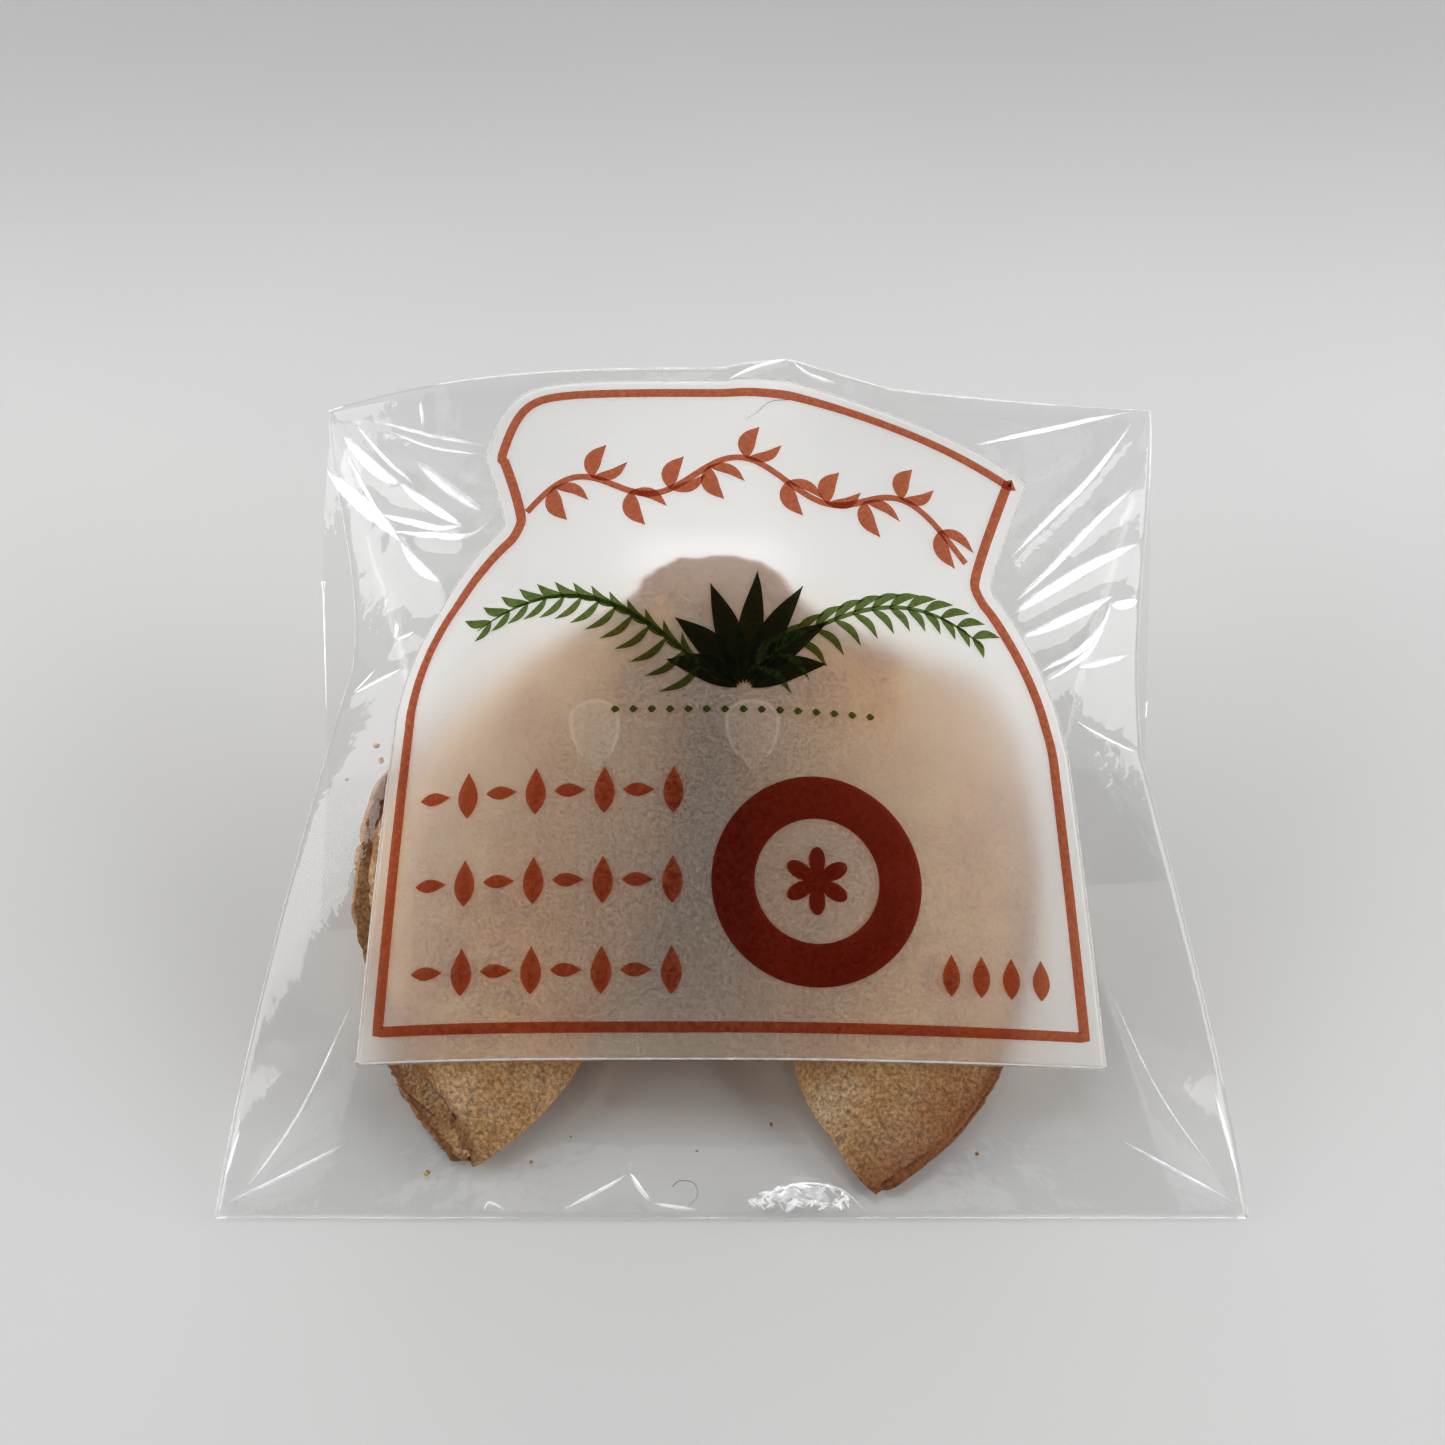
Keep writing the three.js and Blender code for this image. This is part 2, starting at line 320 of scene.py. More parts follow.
def distanceToPath(x, y, path):
    # how far each place is from a path in plan
    nearest = np.full(np.shape(x), 1e9)
    for start, end in zip(path[:-1], path[1:]):
        dx, dy = end[0] - start[0], end[1] - start[1]
        share = np.clip(((x - start[0]) * dx + (y - start[1]) * dy) / max(dx * dx + dy * dy, 1e-9), 0, 1)
        nearest = np.minimum(nearest, np.hypot(x - start[0] - share * dx, y - start[1] - share * dy))
    return nearest


def frontRelief(x, y, across, along):
    # what stands proud of the bag's plain front: creases, soft wrinkles and the drape over a tip
    lift = np.zeros(np.shape(x))
    for points, width, strength in frontCreases:
        reach = film["ridgeReach"] + width / 2
        lift += film["ridge"] * strength * np.exp(-(distanceToPath(x, y, points) / reach) ** 2)
    size, (lengthwise, crosswise) = film["wrinkleSize"], film["wrinkleStretch"]
    soft = np.array([noise.noise((a / size, b / size * lengthwise, 3.7))
                     + film["secondWrinkle"] * abs(noise.noise((a / size * crosswise, b / size, 8.1)))
                     for a, b in zip(x.ravel(), y.ravel())])
    (outside, outwards), (above, upwards) = film["freeAcross"], film["freeAlong"]
    free = np.clip((np.abs(across) - outside) * outwards, 0, 1) * np.clip(along * upwards - above, 0, 1)
    lift += film["wrinkle"] * soft.reshape(x.shape) * free
    away = np.hypot(x - film["drapeAt"][0], y - film["drapeAt"][1]) / film["drapeReach"]
    lift += film["drapeLift"] * np.exp(-away ** 2)
    usualHalf = 50
    edge = np.minimum(1 - np.abs(across), np.minimum(along, 1 - along)) * usualHalf
    return lift * np.clip(edge / film["plainRim"], 0, 1)


def makeFilm(material):
    # two sheets that meet along the seams
    cells, hair = film["cells"], 0.0001
    bm = bmesh.new()
    for face in ("front", "back"):
        grid = bmesh.ops.create_grid(bm, x_segments=cells, y_segments=cells, size=1)["verts"]
        across = np.array([v.co.x for v in grid])
        along = np.array([(v.co.y + 1) / 2 for v in grid])
        x, y, front, back = bagPoint(across, along)
        height = front + frontRelief(x, y, across, along) if face == "front" else back + film["restLift"]
        rim = (np.abs(across) > 1 - hair) | (along < hair) | (along > 1 - hair)
        height = np.where(rim, (front + back) / 2, height)
        for vert, px, py, pz in zip(grid, x, y, height):
            vert.co = (px, py, pz)
        if face == "back":
            flipped = {f for v in grid for f in v.link_faces}
            bmesh.ops.reverse_faces(bm, faces=list(flipped))
    bmesh.ops.remove_doubles(bm, verts=bm.verts, dist=0.0005)
    return makePiece("bagFilm", bm, material, "bag")


creases = {
    "spacing": 0.7, "columns": 4,
    "blunt": 0.25, "swell": 0.6,         # width at the ends, and how soon a crease is full
    "height": 0.22, "clear": 0.05,       # height as a share of the width, and room over the film
    "ends": 3.2, "sides": 0.45,          # how soon the painted glint comes, from the ends and from the sides
}


def makeCreases(material):
    # the folds themselves: slender bands pinched up from the film, which carry the painted glints
    bm = bmesh.new()
    shine = bm.verts.layers.float.new("shine")
    across, blunt = creases["columns"] + 1, creases["blunt"]
    for points, width, strength in frontCreases + patchFacets():
        path = smoothCurve(points, min(creases["spacing"], 0.8 * width))
        rows = len(path) - 1
        swell = lambda share: width * (blunt + (1 - blunt) * math.sin(math.pi * share) ** creases["swell"])
        for index, vert in enumerate(addRibbon(bm, path, swell, columns=creases["columns"])):
            row = index // across
            middle = 1 - abs(index % across * 2 / (across - 1) - 1)
            ends = min(1, creases["ends"] * min(row, rows - row) / rows + 0.05)
            vert[shine] = strength * middle ** creases["sides"] * ends
            vert.co.z = creases["height"] * width * middle
    x = np.array([v.co.x for v in bm.verts])
    y = np.array([v.co.y for v in bm.verts])
    across, along = bagShares(x, y)
    height = bagPoint(across, along)[2] + frontRelief(x, y, across, along)
    for vert, h in zip(bm.verts, height):
        vert.co.z += h + creases["clear"]
    return makePiece("filmCreases", bm, material, "bag")


def addTube(bm, path, radiusAt, sides=6):
    # a round thread along a path, with closed ends; radiusAt gives its radius for a share along it
    rows = len(path) - 1
    grid = bmesh.ops.create_grid(bm, x_segments=sides, y_segments=rows, size=1)["verts"]
    grid.sort(key=lambda v: (round(v.co.y, 6), v.co.x))
    for row in range(rows + 1):
        ahead = Vector(path[min(row + 1, rows)]) - Vector(path[max(row - 1, 0)])
        aside = ahead.cross(Vector((0.02, 0.01, 1))).normalized()
        above = aside.cross(ahead).normalized()
        radius = radiusAt(row / rows)
        for column in range(sides + 1):
            angle = 2 * math.pi * column / sides
            spot = Vector(path[row]) + (aside * math.cos(angle) + above * math.sin(angle)) * radius
            grid[row * (sides + 1) + column].co = spot
    bmesh.ops.remove_doubles(bm, verts=grid, dist=0.0002)
    edges = {e for v in grid if v.is_valid for e in v.link_edges if e.is_boundary}
    bmesh.ops.holes_fill(bm, edges=list(edges), sides=sides)


# The fine beads that the welding knife leaves along the sides, and the folded edges: radius, and the
# strength of their painted highlight.
seamBeads = {
    "points": 90,
    "left": (0.05, 0.14), "right": (0.05, 0.10), "top": (0.08, 0.3), "foot": (0.04, 0.12),
}


def makeSeamBeads(material):
    bm = bmesh.new()
    shine = bm.verts.layers.float.new("shine")
    steps = np.linspace(0, 1, seamBeads["points"])
    ones = np.ones(seamBeads["points"])
    courses = {"left": (-ones, steps), "right": (ones, steps), "top": (steps * 2 - 1, ones),
               "foot": (steps * 2 - 1, 0 * ones)}
    for edge, (across, along) in courses.items():
        radius, bright = seamBeads[edge]
        x, y, front, back = bagPoint(across, along)
        path = np.stack([x, y, np.maximum((front + back) / 2, radius)], axis=1)
        known = len(bm.verts)
        addTube(bm, path, lambda share: radius)
        bm.verts.ensure_lookup_table()
        for vert in bm.verts[known:]:
            vert[shine] = bright
    bmesh.ops.recalc_face_normals(bm, faces=bm.faces)
    return makePiece("seamBeads", bm, material)


flap = {
    "tableLine": 14.4, "bulgeAt": 0.64, "bulgeReach": 0.26, "bulgeDepth": 2.4,
    "standOff": 0.35, "gap": 0.35, "upright": 0.7, "sunk": 0.75, "flare": (1.4, 0.7), "tentFade": 8,
    "turnAt": 0.66,            # the share of its length that hangs behind the bag
    "joinShare": 0.03,         # and the share that closes up to the top edge
    "underLeft": -8.8, "underRight": -1.8,     # where the part that is turned under the bag ends
    "underLeftEdge": 2.7, "underRightEdge": 0.3,   # and how much narrower it is there
    "lift": 0.05,
    # stretches of the flap's edges with a painted glint: side, from, to and radius
    "glints": [(-1, 0.31, 0.54, 0.11), (-1, 0.30, 0.325, 0.22), (1, 0.53, 0.56, 0.14)],
}


def flapSpot(across, share):
    # x, y and z of a place on the flap; share runs from the top edge down and then in under the bag
    down = np.clip(share / flap["turnAt"], 0, 1)
    under = np.clip((share - flap["turnAt"]) / (1 - flap["turnAt"]), 0, 1)
    edgeX, edgeY, front, back = bagPoint(across, np.ones(len(across)))
    tent = tentAt(edgeX)
    startY = edgeY + flap["standOff"] * (1 - across ** 2)
    startZ = back - tent - flap["gap"]
    leftFlare, rightFlare = flap["flare"]
    x = edgeX + np.where(across < 0, -leftFlare, rightFlare) * np.abs(across) * np.minimum(1, 3 * down)
    bulge = np.exp(-((across - flap["bulgeAt"]) / flap["bulgeReach"]) ** 2)
    tableLine = flap["tableLine"] + flap["bulgeDepth"] * bulge
    y = startY + (tableLine - startY) * down
    z = startZ + (flap["upright"] - startZ) * down + tent * (1 - down) ** flap["tentFade"]
    z = z - flap["upright"] * flap["sunk"]
    joined = np.clip(1 - down / flap["joinShare"], 0, 1)
    y, z = y + (edgeY - y) * joined, z + ((front + back) / 2 - z) * joined
    end = flap["underLeft"] + (flap["underRight"] - flap["underLeft"]) * (across + 1) / 2
    y = y + (end - tableLine) * under
    x = x + np.where(across < 0, flap["underLeftEdge"], -flap["underRightEdge"]) * np.abs(across) * under
    z = np.where(under > 0, flap["lift"], np.maximum(z, flap["lift"]))
    return x, y, z


def makeFlap(material):
    # the long flap of the back film, folded over the top edge and down behind, then turned under
    bm = bmesh.new()
    grid = bmesh.ops.create_grid(bm, x_segments=60, y_segments=100, size=1)["verts"]
    across = np.array([v.co.x for v in grid])
    share = np.array([(1 - v.co.y) / 2 for v in grid])
    for vert, spot in zip(grid, np.stack(flapSpot(across, share), axis=1)):
        vert.co = spot
    return makePiece("foldedFlap", bm, material, "flap")


def makeFlapEdges(material):
    # the flap's cut edges where they stand up beside the bag, drawn as white threads that paint their
    # glints
    bm = bmesh.new()
    shine = bm.verts.layers.float.new("shine")
    for side, start, end, radius in flap["glints"]:
        share = np.linspace(start, end, 40)
        path = np.stack(flapSpot(np.full(len(share), float(side)), share), axis=1)
        addTube(bm, path, lambda s: radius * (0.35 + 0.65 * (1 - s)))
    for vert in bm.verts:
        vert[shine] = 0.9
    bmesh.ops.recalc_face_normals(bm, faces=bm.faces)
    return makePiece("flapEdges", bm, material, "flap")


wafer = {
    "columns": 230, "rows": 56,    # rows for each half
    "crowding": 0.35,              # how much closer the columns stand at the tips
    "thickness": 1.3,
    "filmGap": 0.95, "tableGap": 0.85, "slack": 0.15,
    # how a lobe rises from the fold to the rim, and how much sooner over the top than in the legs
    "outwards": (1.5, 0.25), "risesLate": 0.3, "innerBlunt": (0.7, 0.2), "outerBlunt": (0.4, 0.25),
    "rimRoughness": 0.42, "rimGrain": 0.9,
    "crumblyAt": 10, "crumblyReach": 9, "crumblyShare": 1.6,     # the left tip has crumbled most
    "topAt": 84, "topReach": 30,               # the full top, which fades into the legs
    "shoulders": (60, 116), "shoulderGap": 3.0, "shoulderReach": 11,   # the film stands clear of them
    "valleyAt": 91, "valleyReach": 8.5,        # the dent between the two lobes
    "valleyShare": 0.95, "valleyEnd": 0.8, "valleyFade": 0.2,
    "leftBelly": 1.25, "rightBelly": 1.05,     # higher is fuller towards the rim
    "bellyBlend": 12,
    "foldShadeReach": 0.34, "foldShadeSpread": 24,       # where painted shade darkens the wafer towards its sharp inner fold
    "paleAt": 43, "paleReach": 12, "paleShift": 2.4,   # the left shoulder's rim stays pale
    "tipBrown": 0.4, "tipSpread": 0.25,        # millimetres from the rim at a tip, and for each column
    "uneven": 0.25, "unevenScale": 0.16, "evenBelow": 6,
}

# The fold seen by its angle round the mouth, from the left tip over the top to the right tip:
# angle, a point of the fold's inner line, of the upper rim and of the lower rim.
waferKeys = [
    (3, (-26.1, -37.6, 1.5), (-26.4, -36.8, 3.0), (-28.6, -36.6, 0.9)),
    (10, (-25.3, -37.4, 1.8), (-27.1, -35.2, 3.9), (-32.3, -32.3, 1.0)),
    (16, (-24.4, -36.9, 2.1), (-28.4, -32.6, 4.6), (-35.5, -27.3, 1.3)),
    (22, (-23.0, -35.8, 2.4), (-31.0, -29.7, 5.5), (-37.3, -22.7, 3.3)),
    (30, (-20.8, -33.8, 2.8), (-34.3, -25.0, 7.2), (-38.5, -17.5, 7.0)),
    (34, (-19.6, -32.6, 3.1), (-36.0, -21.0, 8.7), (-39.8, -14.6, 9.6)),
    (41, (-17.2, -29.4, 3.6), (-37.6, -14.6, 11.0), (-40.1, -9.2, 11.8)),
    (53, (-12.9, -20.6, 5.6), (-37.0, -3.6, 15.0), (-38.2, 1.4, 14.6)),
    (70, (-7.4, -6.8, 10.2), (-21.4, 10.6, 23.0), (-22.6, 12.6, 18.8)),
    (77, (-5.2, -0.6, 12.4), (-11.4, 11.2, 30.8), (-12.2, 13.4, 26.4)),
    (83, (-3.6, 3.9, 14.2), (-7.6, 14.0, 33.6), (-8.0, 16.0, 29.2)),
    (90, (-1.8, 6.6, 15.2), (-2.0, 15.2, 34.2), (-2.0, 17.4, 29.8)),
    (97, (-0.1, 3.9, 14.2), (3.8, 14.2, 33.8), (4.0, 16.2, 29.3)),
    (103, (1.0, -0.6, 12.4), (8.4, 11.2, 30.6), (8.8, 13.3, 26.2)),
    (110, (2.2, -6.4, 10.2), (18.4, 10.4, 24.8), (19.0, 12.0, 20.4)),
    (118, (3.6, -13.4, 7.9), (27.8, 10.2, 19.2), (28.4, 11.2, 15.6)),
    (127, (5.4, -20.6, 5.6), (31.8, 1.0, 15.6), (32.2, 1.6, 13.0)),
    (140, (8.0, -31.0, 3.2), (32.5, -13.0, 11.0), (32.8, -13.0, 9.0)),
    (150, (10.9, -35.6, 2.2), (30.8, -21.5, 7.4), (31.0, -21.5, 5.0)),
    (158, (12.5, -38.2, 1.7), (28.3, -27.3, 5.4), (28.3, -27.2, 2.4)),
    (164, (13.4, -39.3, 1.4), (25.8, -31.6, 4.4), (25.8, -31.4, 1.4)),
    (170, (14.2, -40.1, 1.2), (21.6, -36.2, 3.2), (21.6, -36.0, 1.0)),
    (177, (14.7, -40.5, 1.1), (16.4, -39.8, 2.0), (16.5, -39.6, 0.9)),
]


def alongKeys(keys, at):
    # the keys' values on smooth curves between them
    places = np.array([k[0] for k in keys], float)
    values = np.array([sum(k[1:], ()) for k in keys], float)
    slopes = np.gradient(values, places, axis=0)
    spot = np.clip(np.searchsorted(places, at) - 1, 0, len(places) - 2)
    gap = (places[spot + 1] - places[spot])[:, None]
    s = (at - places[spot])[:, None] / gap
    return ((2 * s ** 3 - 3 * s ** 2 + 1) * values[spot] + (s ** 3 - 2 * s ** 2 + s) * gap * slopes[spot]
            + (3 * s ** 2 - 2 * s ** 3) * values[spot + 1] + (s ** 3 - s ** 2) * gap * slopes[spot + 1])


def smoothLine(values, reach):
    # evens out a row of values over its neighbours
    kernel = np.hanning(2 * reach + 3)
    padded = np.pad(values, reach + 1, mode="edge")
    return np.convolve(padded, kernel / kernel.sum(), mode="valid")


def makeWafer(material):
    # one folded round: its two halves swell from the inner fold to their rims, as far as the bag lets them
    columns, rows = wafer["columns"], wafer["rows"]
    bm = bmesh.new()
    rimDistance = bm.verts.layers.float.new("rimDistance")
    toastLayer = bm.verts.layers.float.new("toast")
    foldShadeLayer = bm.verts.layers.float.new("fold")
    grid = bmesh.ops.create_grid(bm, x_segments=columns, y_segments=2 * rows, size=1)["verts"]
    grid.sort(key=lambda v: (round(v.co.y, 6), v.co.x))
    share = np.linspace(-1, 1, columns + 1)
    first, last = waferKeys[0][0], waferKeys[-1][0]
    angle = 90 + (last - first) / 2 * share * (1 + wafer["crowding"] - wafer["crowding"] * share ** 2)
    keys = alongKeys(waferKeys, angle)
    spine, rims = keys[:, 0:3], {"upper": keys[:, 3:6], "lower": keys[:, 6:9]}

    def around(at, reach):
        # 1 at an angle of the mouth, fading to 0 beyond its reach
        return np.exp(-((angle - at) / reach) ** 2)

    belly = smoothLine(np.where(angle < 90, wafer["leftBelly"], wafer["rightBelly"]), wafer["bellyBlend"])
    pale = wafer["paleShift"] * around(wafer["paleAt"], wafer["paleReach"])
    # painted shade along the inner fold, strongest round the top of the mouth
    folded = around(90, wafer["foldShadeSpread"])
    for half, sign in (("lower", -1), ("upper", 1)):
        rim = rims[half].copy()
        outward = rim - spine
        outward /= np.linalg.norm(outward, axis=1)[:, None]
        walked = np.cumsum(np.r_[0, np.linalg.norm(np.diff(rim, axis=0), axis=1)])
        ragged = np.array([noise.fractal(Vector((a * wafer["rimGrain"], sign * 7.1, 2.0)), 0.6, 2.2, 4)
                           for a in walked])
        crumbly = 1 + wafer["crumblyShare"] * around(wafer["crumblyAt"], wafer["crumblyReach"])
        rim += outward * (ragged * (wafer["rimRoughness"] * crumbly))[:, None]
        t = np.linspace(0, 1, rows + 1)[None, :]          # from the fold to the rim
        full = around(wafer["topAt"], wafer["topReach"])[:, None]
        outwards, inner, outer = [inLegs - less * full for inLegs, less in
                                  (wafer["outwards"], wafer["innerBlunt"], wafer["outerBlunt"])]
        chord = spine[:, None, :] + (rim - spine)[:, None, :] * (t ** outwards)[:, :, None]
        arch = np.sin(np.pi * t ** (belly[:, None] + wafer["risesLate"] * full)) ** (inner + outer * t)
        arch = np.where(t >= 1, 0, np.nan_to_num(arch))
        front, back = bagHeights(chord[:, :, 0], chord[:, :, 1])
        if half == "upper":
            clear = sum(around(at, wafer["shoulderReach"]) for at in wafer["shoulders"])
            room = front - wafer["filmGap"] - wafer["shoulderGap"] * clear[:, None] - chord[:, :, 2]
        else:
            room = chord[:, :, 2] - np.maximum(back, 0) - wafer["tableGap"]
        raised, least = (t > 0.06) & (t < 0.96), 0.05
        height = np.where(raised & (arch > least), room / np.maximum(arch, least), 1e9).min(axis=1)
        height = np.maximum(smoothLine(height, 5) - wafer["slack"], 0.0)
        if half == "upper":
            dent = wafer["valleyShare"] * around(wafer["valleyAt"], wafer["valleyReach"])
            upTo = np.clip((wafer["valleyEnd"] - t) / wafer["valleyFade"], 0, 1)
            arch = arch * (1 - dent[:, None] * upTo ** 2 * (3 - 2 * upTo))
        z = chord[:, :, 2] + sign * height[:, None] * arch
        length = np.hypot(np.diff(chord[:, :, 0], axis=1), np.diff(chord[:, :, 1], axis=1))
        length = np.sqrt(length ** 2 + np.diff(z, axis=1) ** 2)
        fromRim = np.zeros((columns + 1, rows + 1))
        fromRim[:, :-1] = np.cumsum(length[:, ::-1], axis=1)[:, ::-1]
        for row in range(rows + 1):
            line = rows + sign * row
            for column in range(columns + 1):
                vert = grid[line * (columns + 1) + column]
                vert.co = (chord[column, row, 0], chord[column, row, 1], z[column, row])
                fromTip = min(column, columns - column) * wafer["tipSpread"] + wafer["tipBrown"]
                vert[rimDistance] = min(fromRim[column, row], fromTip) + pale[column]
                vert[foldShadeLayer] = folded[column] * math.exp(-(row / rows / wafer["foldShadeReach"]) ** 2)
                vert[toastLayer] = (angle[column] - first) / (last - first)
    for vert in bm.verts:
        spot = vert.co * wafer["unevenScale"]
        vert.co.z += wafer["uneven"] * noise.noise(spot) * min(1, vert.co.z / wafer["evenBelow"])
    piece = makePiece("wafer", bm, material, "bag")
    shell = piece.modifiers.new("waferThickness", "SOLIDIFY")
    shell.thickness = wafer["thickness"] * mm
    shell.offset = 0
    return piece


crumbs = {
    "seed": 7, "underFilm": 0.6, "lowest": 0.45, "roughness": 0.45,
    # place in plan, height above the table (None: clings under the front film), size
    "places": [(-37.2, -1.2, None, 0.8), (-37.9, 0.6, None, 0.6), (-41.2, -1.8, None, 0.4),
               (-30.6, -38.4, 0.5, 0.6), (-20.2, -37.2, 0.5, 0.4), (-16.4, -34.4, 0.5, 0.3),
               (4.1, -33.0, 0.5, 0.4), (-3.5, -36.0, 0.5, 0.3), (24.9, -36.3, 0.5, 0.4)],
}


def makeCrumbs(material):
    # loose crumbs of the wafer
    draw = random.Random(crumbs["seed"])
    bm = bmesh.new()
    rimDistance = bm.verts.layers.float.new("rimDistance")
    for x, y, z, size in crumbs["places"]:
        if z is None:
            z = float(bagHeights(np.array(x), np.array(y))[0]) - crumbs["underFilm"]
        made = bmesh.ops.create_icosphere(bm, subdivisions=3, radius=size / 2)["verts"]
        offset = Vector((draw.random() * 50, draw.random() * 50, draw.random() * 50))
        squeeze = (draw.uniform(0.7, 1.2), draw.uniform(0.7, 1.2), draw.uniform(0.5, 0.8))
        for vert in made:
            rough = 1 + crumbs["roughness"] * noise.noise(vert.co * (2.6 / size) + offset)
            vert.co = Vector((vert.co.x * squeeze[0] * rough + x, vert.co.y * squeeze[1] * rough + y,
                              vert.co.z * squeeze[2] * rough + max(z, crumbs["lowest"])))
            vert[rimDistance] = 3 + 4 * draw.random()
    return makePiece("crumbs", bm, material, "bag")


lint = {
    "radius": 0.042, "overFilm": 0.12, "overLabel": 0.75,
    "hairs": [[(6.6, 33.3), (4.4, 32.9), (2.8, 31.4), (1.7, 30.6)],
              [(-5.9, -40.7), (-5.1, -40.2), (-3.7, -40.4), (-3.4, -41.4), (-4.3, -42.3)]],
}


def makeLint(material):
    # one hair lies on the label and one on the film at the foot
    bm = bmesh.new()
    for hair in lint["hairs"]:
        path = smoothCurve(hair, 0.25)
        front = bagHeights(path[:, 0], path[:, 1])[0]
        clear = lint["overLabel"] if hair[0][1] > 0 else lint["overFilm"]
        points = np.stack([path[:, 0], path[:, 1], front + clear], axis=1)
        addTube(bm, points, lambda share: lint["radius"] * (1 - 0.5 * share), sides=5)
    bmesh.ops.recalc_face_normals(bm, faces=bm.faces)
    return makePiece("lintHairs", bm, material)


# The label is laid on the front film without stretching.
labelShape = {
    "footHalf": 37.8, "sideHalf": 36.6, "footDistance": 14.9, "cornerHeight": 65.5, "archRise": 9.6,
    "gap": 0.35, "thickness": 0.3, "cutWidth": 0.18, "cornerBluntness": 0.05, "flareCurve": 1.2,
    "left": {"shoulder": 36, "shoulderCurve": 2.5, "neck": 57, "neckHalf": 26.5, "flareHalf": 29,
             "arch": 12},
    "right": {"shoulder": 33, "shoulderCurve": 2, "neck": 52, "neckHalf": 26.9, "flareHalf": 32.2,
              "arch": 1.9},
    "columns": 120, "sideRows": 100, "archRows": 16,
}


def labelHalfWidth(side, up):
    # half the width of the flat label at a height over its foot: sides, shoulders, neck and flare
    outline = labelShape[side]
    foot, wide = labelShape["footHalf"], labelShape["sideHalf"]
    if up < outline["shoulder"]:
        return foot + (wide - foot) * up / outline["shoulder"]
    if up < outline["neck"]:
        turned = (up - outline["shoulder"]) / (outline["neck"] - outline["shoulder"])
        return outline["neckHalf"] + (wide - outline["neckHalf"]) * (1 - turned ** outline["shoulderCurve"])
    flared = (up - outline["neck"]) / (labelShape["cornerHeight"] - outline["neck"])
    flared = flared ** labelShape["flareCurve"]
    return outline["neckHalf"] + (outline["flareHalf"] - outline["neckHalf"]) * flared


def labelTop(sideways):
    # height of the label's arched top edge
    outline = labelShape["left" if sideways < 0 else "right"]
    fall = min(1, abs(sideways) / outline["flareHalf"]) ** outline["arch"]
    fall = (1 - labelShape["cornerBluntness"]) * fall
    return labelShape["cornerHeight"] + labelShape["archRise"] * (1 - fall)


sheetStep, sheetHalf, sheetHeight = 0.5, 40, 80
sheetSides = np.arange(-sheetHalf, sheetHalf + 0.01, sheetStep)
sheetUps = np.arange(0, sheetHeight + 0.01, sheetStep)


def layFlatSheet():
    # where each place of the flat sheet comes to lie on the film: a table over sideways and up
    shares = np.linspace(0, 1, 241)
    walk = lambda line: np.r_[0, np.cumsum(np.sqrt(sum(np.diff(c) ** 2 for c in line[:3])))]
    middle = walk(bagPoint(np.zeros(len(shares)), shares))
    table = np.zeros((len(sheetUps), len(sheetSides), 3))
    for row, up in enumerate(sheetUps):
        along = np.interp(labelShape["footDistance"] + up, middle, shares)
        for direction in (-1, 1):
            here = sheetSides * direction >= 0
            out = walk(bagPoint(direction * shares, np.full(len(shares), along)))
            reach = np.interp(np.abs(sheetSides[here]), out, shares)
            x, y, front, back = bagPoint(direction * reach, np.full(len(reach), along))
            table[row, here] = np.stack([x, y, front], axis=1)
    return table


sheetTable = layFlatSheet()


def onFilm(sideways, up, lift):
    # a place of the flat sheet as x, y, z, at a height above the film
    column = np.clip((np.asarray(sideways) + sheetHalf) / sheetStep, 0, len(sheetSides) - 1.001)
    row = np.clip(np.asarray(up) / sheetStep, 0, len(sheetUps) - 1.001)
    c, r = column.astype(int), row.astype(int)
    fc, fr = (column - c)[..., None], (row - r)[..., None]
    spot = ((1 - fr) * ((1 - fc) * sheetTable[r, c] + fc * sheetTable[r, c + 1])
            + fr * ((1 - fc) * sheetTable[r + 1, c] + fc * sheetTable[r + 1, c + 1]))
    return spot + np.array([0, 0, 1.0]) * np.asarray(lift)[..., None]


def labelOutline(inset, footInset):
    # the outline of the flat sheet, walked round from the middle of its foot
    ups = np.linspace(0, labelShape["cornerHeight"], 90)
    tops = np.linspace(-labelShape["left"]["flareHalf"], labelShape["right"]["flareHalf"], 60)
    loop = [(a, 0) for a in np.linspace(0, labelShape["footHalf"], 30)]
    loop += [(labelHalfWidth("right", u), u) for u in ups[1:]]
    loop += [(a, labelTop(a)) for a in tops[::-1][1:]]
    loop += [(-labelHalfWidth("left", u), u) for u in ups[::-1][1:]]
    loop += [(a, 0) for a in np.linspace(-labelShape["footHalf"], 0, 30)[1:]]
    loop = np.array(loop)
    if inset:
        before, after = np.roll(loop[:-1], 1, axis=0), np.roll(loop[:-1], -1, axis=0)
        ahead = after - before
        ahead /= np.linalg.norm(ahead, axis=1)[:, None]
        inner = loop[:-1] + np.stack([-ahead[:, 1], ahead[:, 0]], axis=1) * inset
        inner[:, 1] = np.maximum(inner[:, 1], footInset)
        foot = inner[:, 1] <= footInset + 1e-6
        half = labelShape["footHalf"] - inset
        inner[foot, 0] = np.clip(inner[foot, 0], -half, half)
        loop = np.vstack([inner, inner[:1]])
    return loop


# Where the label clings to the wafer's top (plan place, reach), and where air stays under it
# (plan places of the middle of the round end and of the tip, half width).
labelMarks = {
    "clings": [((-2.0, 12.0), (8.0, 4.2)), ((12.0, 2.2), (6.5, 4.2)), ((-19.0, -22.0), (8.0, 8.0))],
    "air": [((-14.2, -0.9), (-13.9, -4.9), 2.5), ((2.2, -1.0), (2.2, -5.0), 2.7)],
    "hollowMiddle": -1.5, "hollowHalf": 11.0, "hollowTop": 9.0,   # over the room between the legs, where a painted brown shadow is cast through the sheet
    "hollowFade": 12, "hollowFoot": 0.55, "hollowLength": 40,
    # where the sheet lies over the wafer and takes a painted warm light
    "overMiddle": -2, "overHalf": 27, "overRise": 2, "overFade": 7,
    "waferTop": [(-38, -3), (-37, -1), (-23, 8), (-9, 11), (-2, 13), (5, 11), (19, 9), (28, 7), (32, 0)],
}


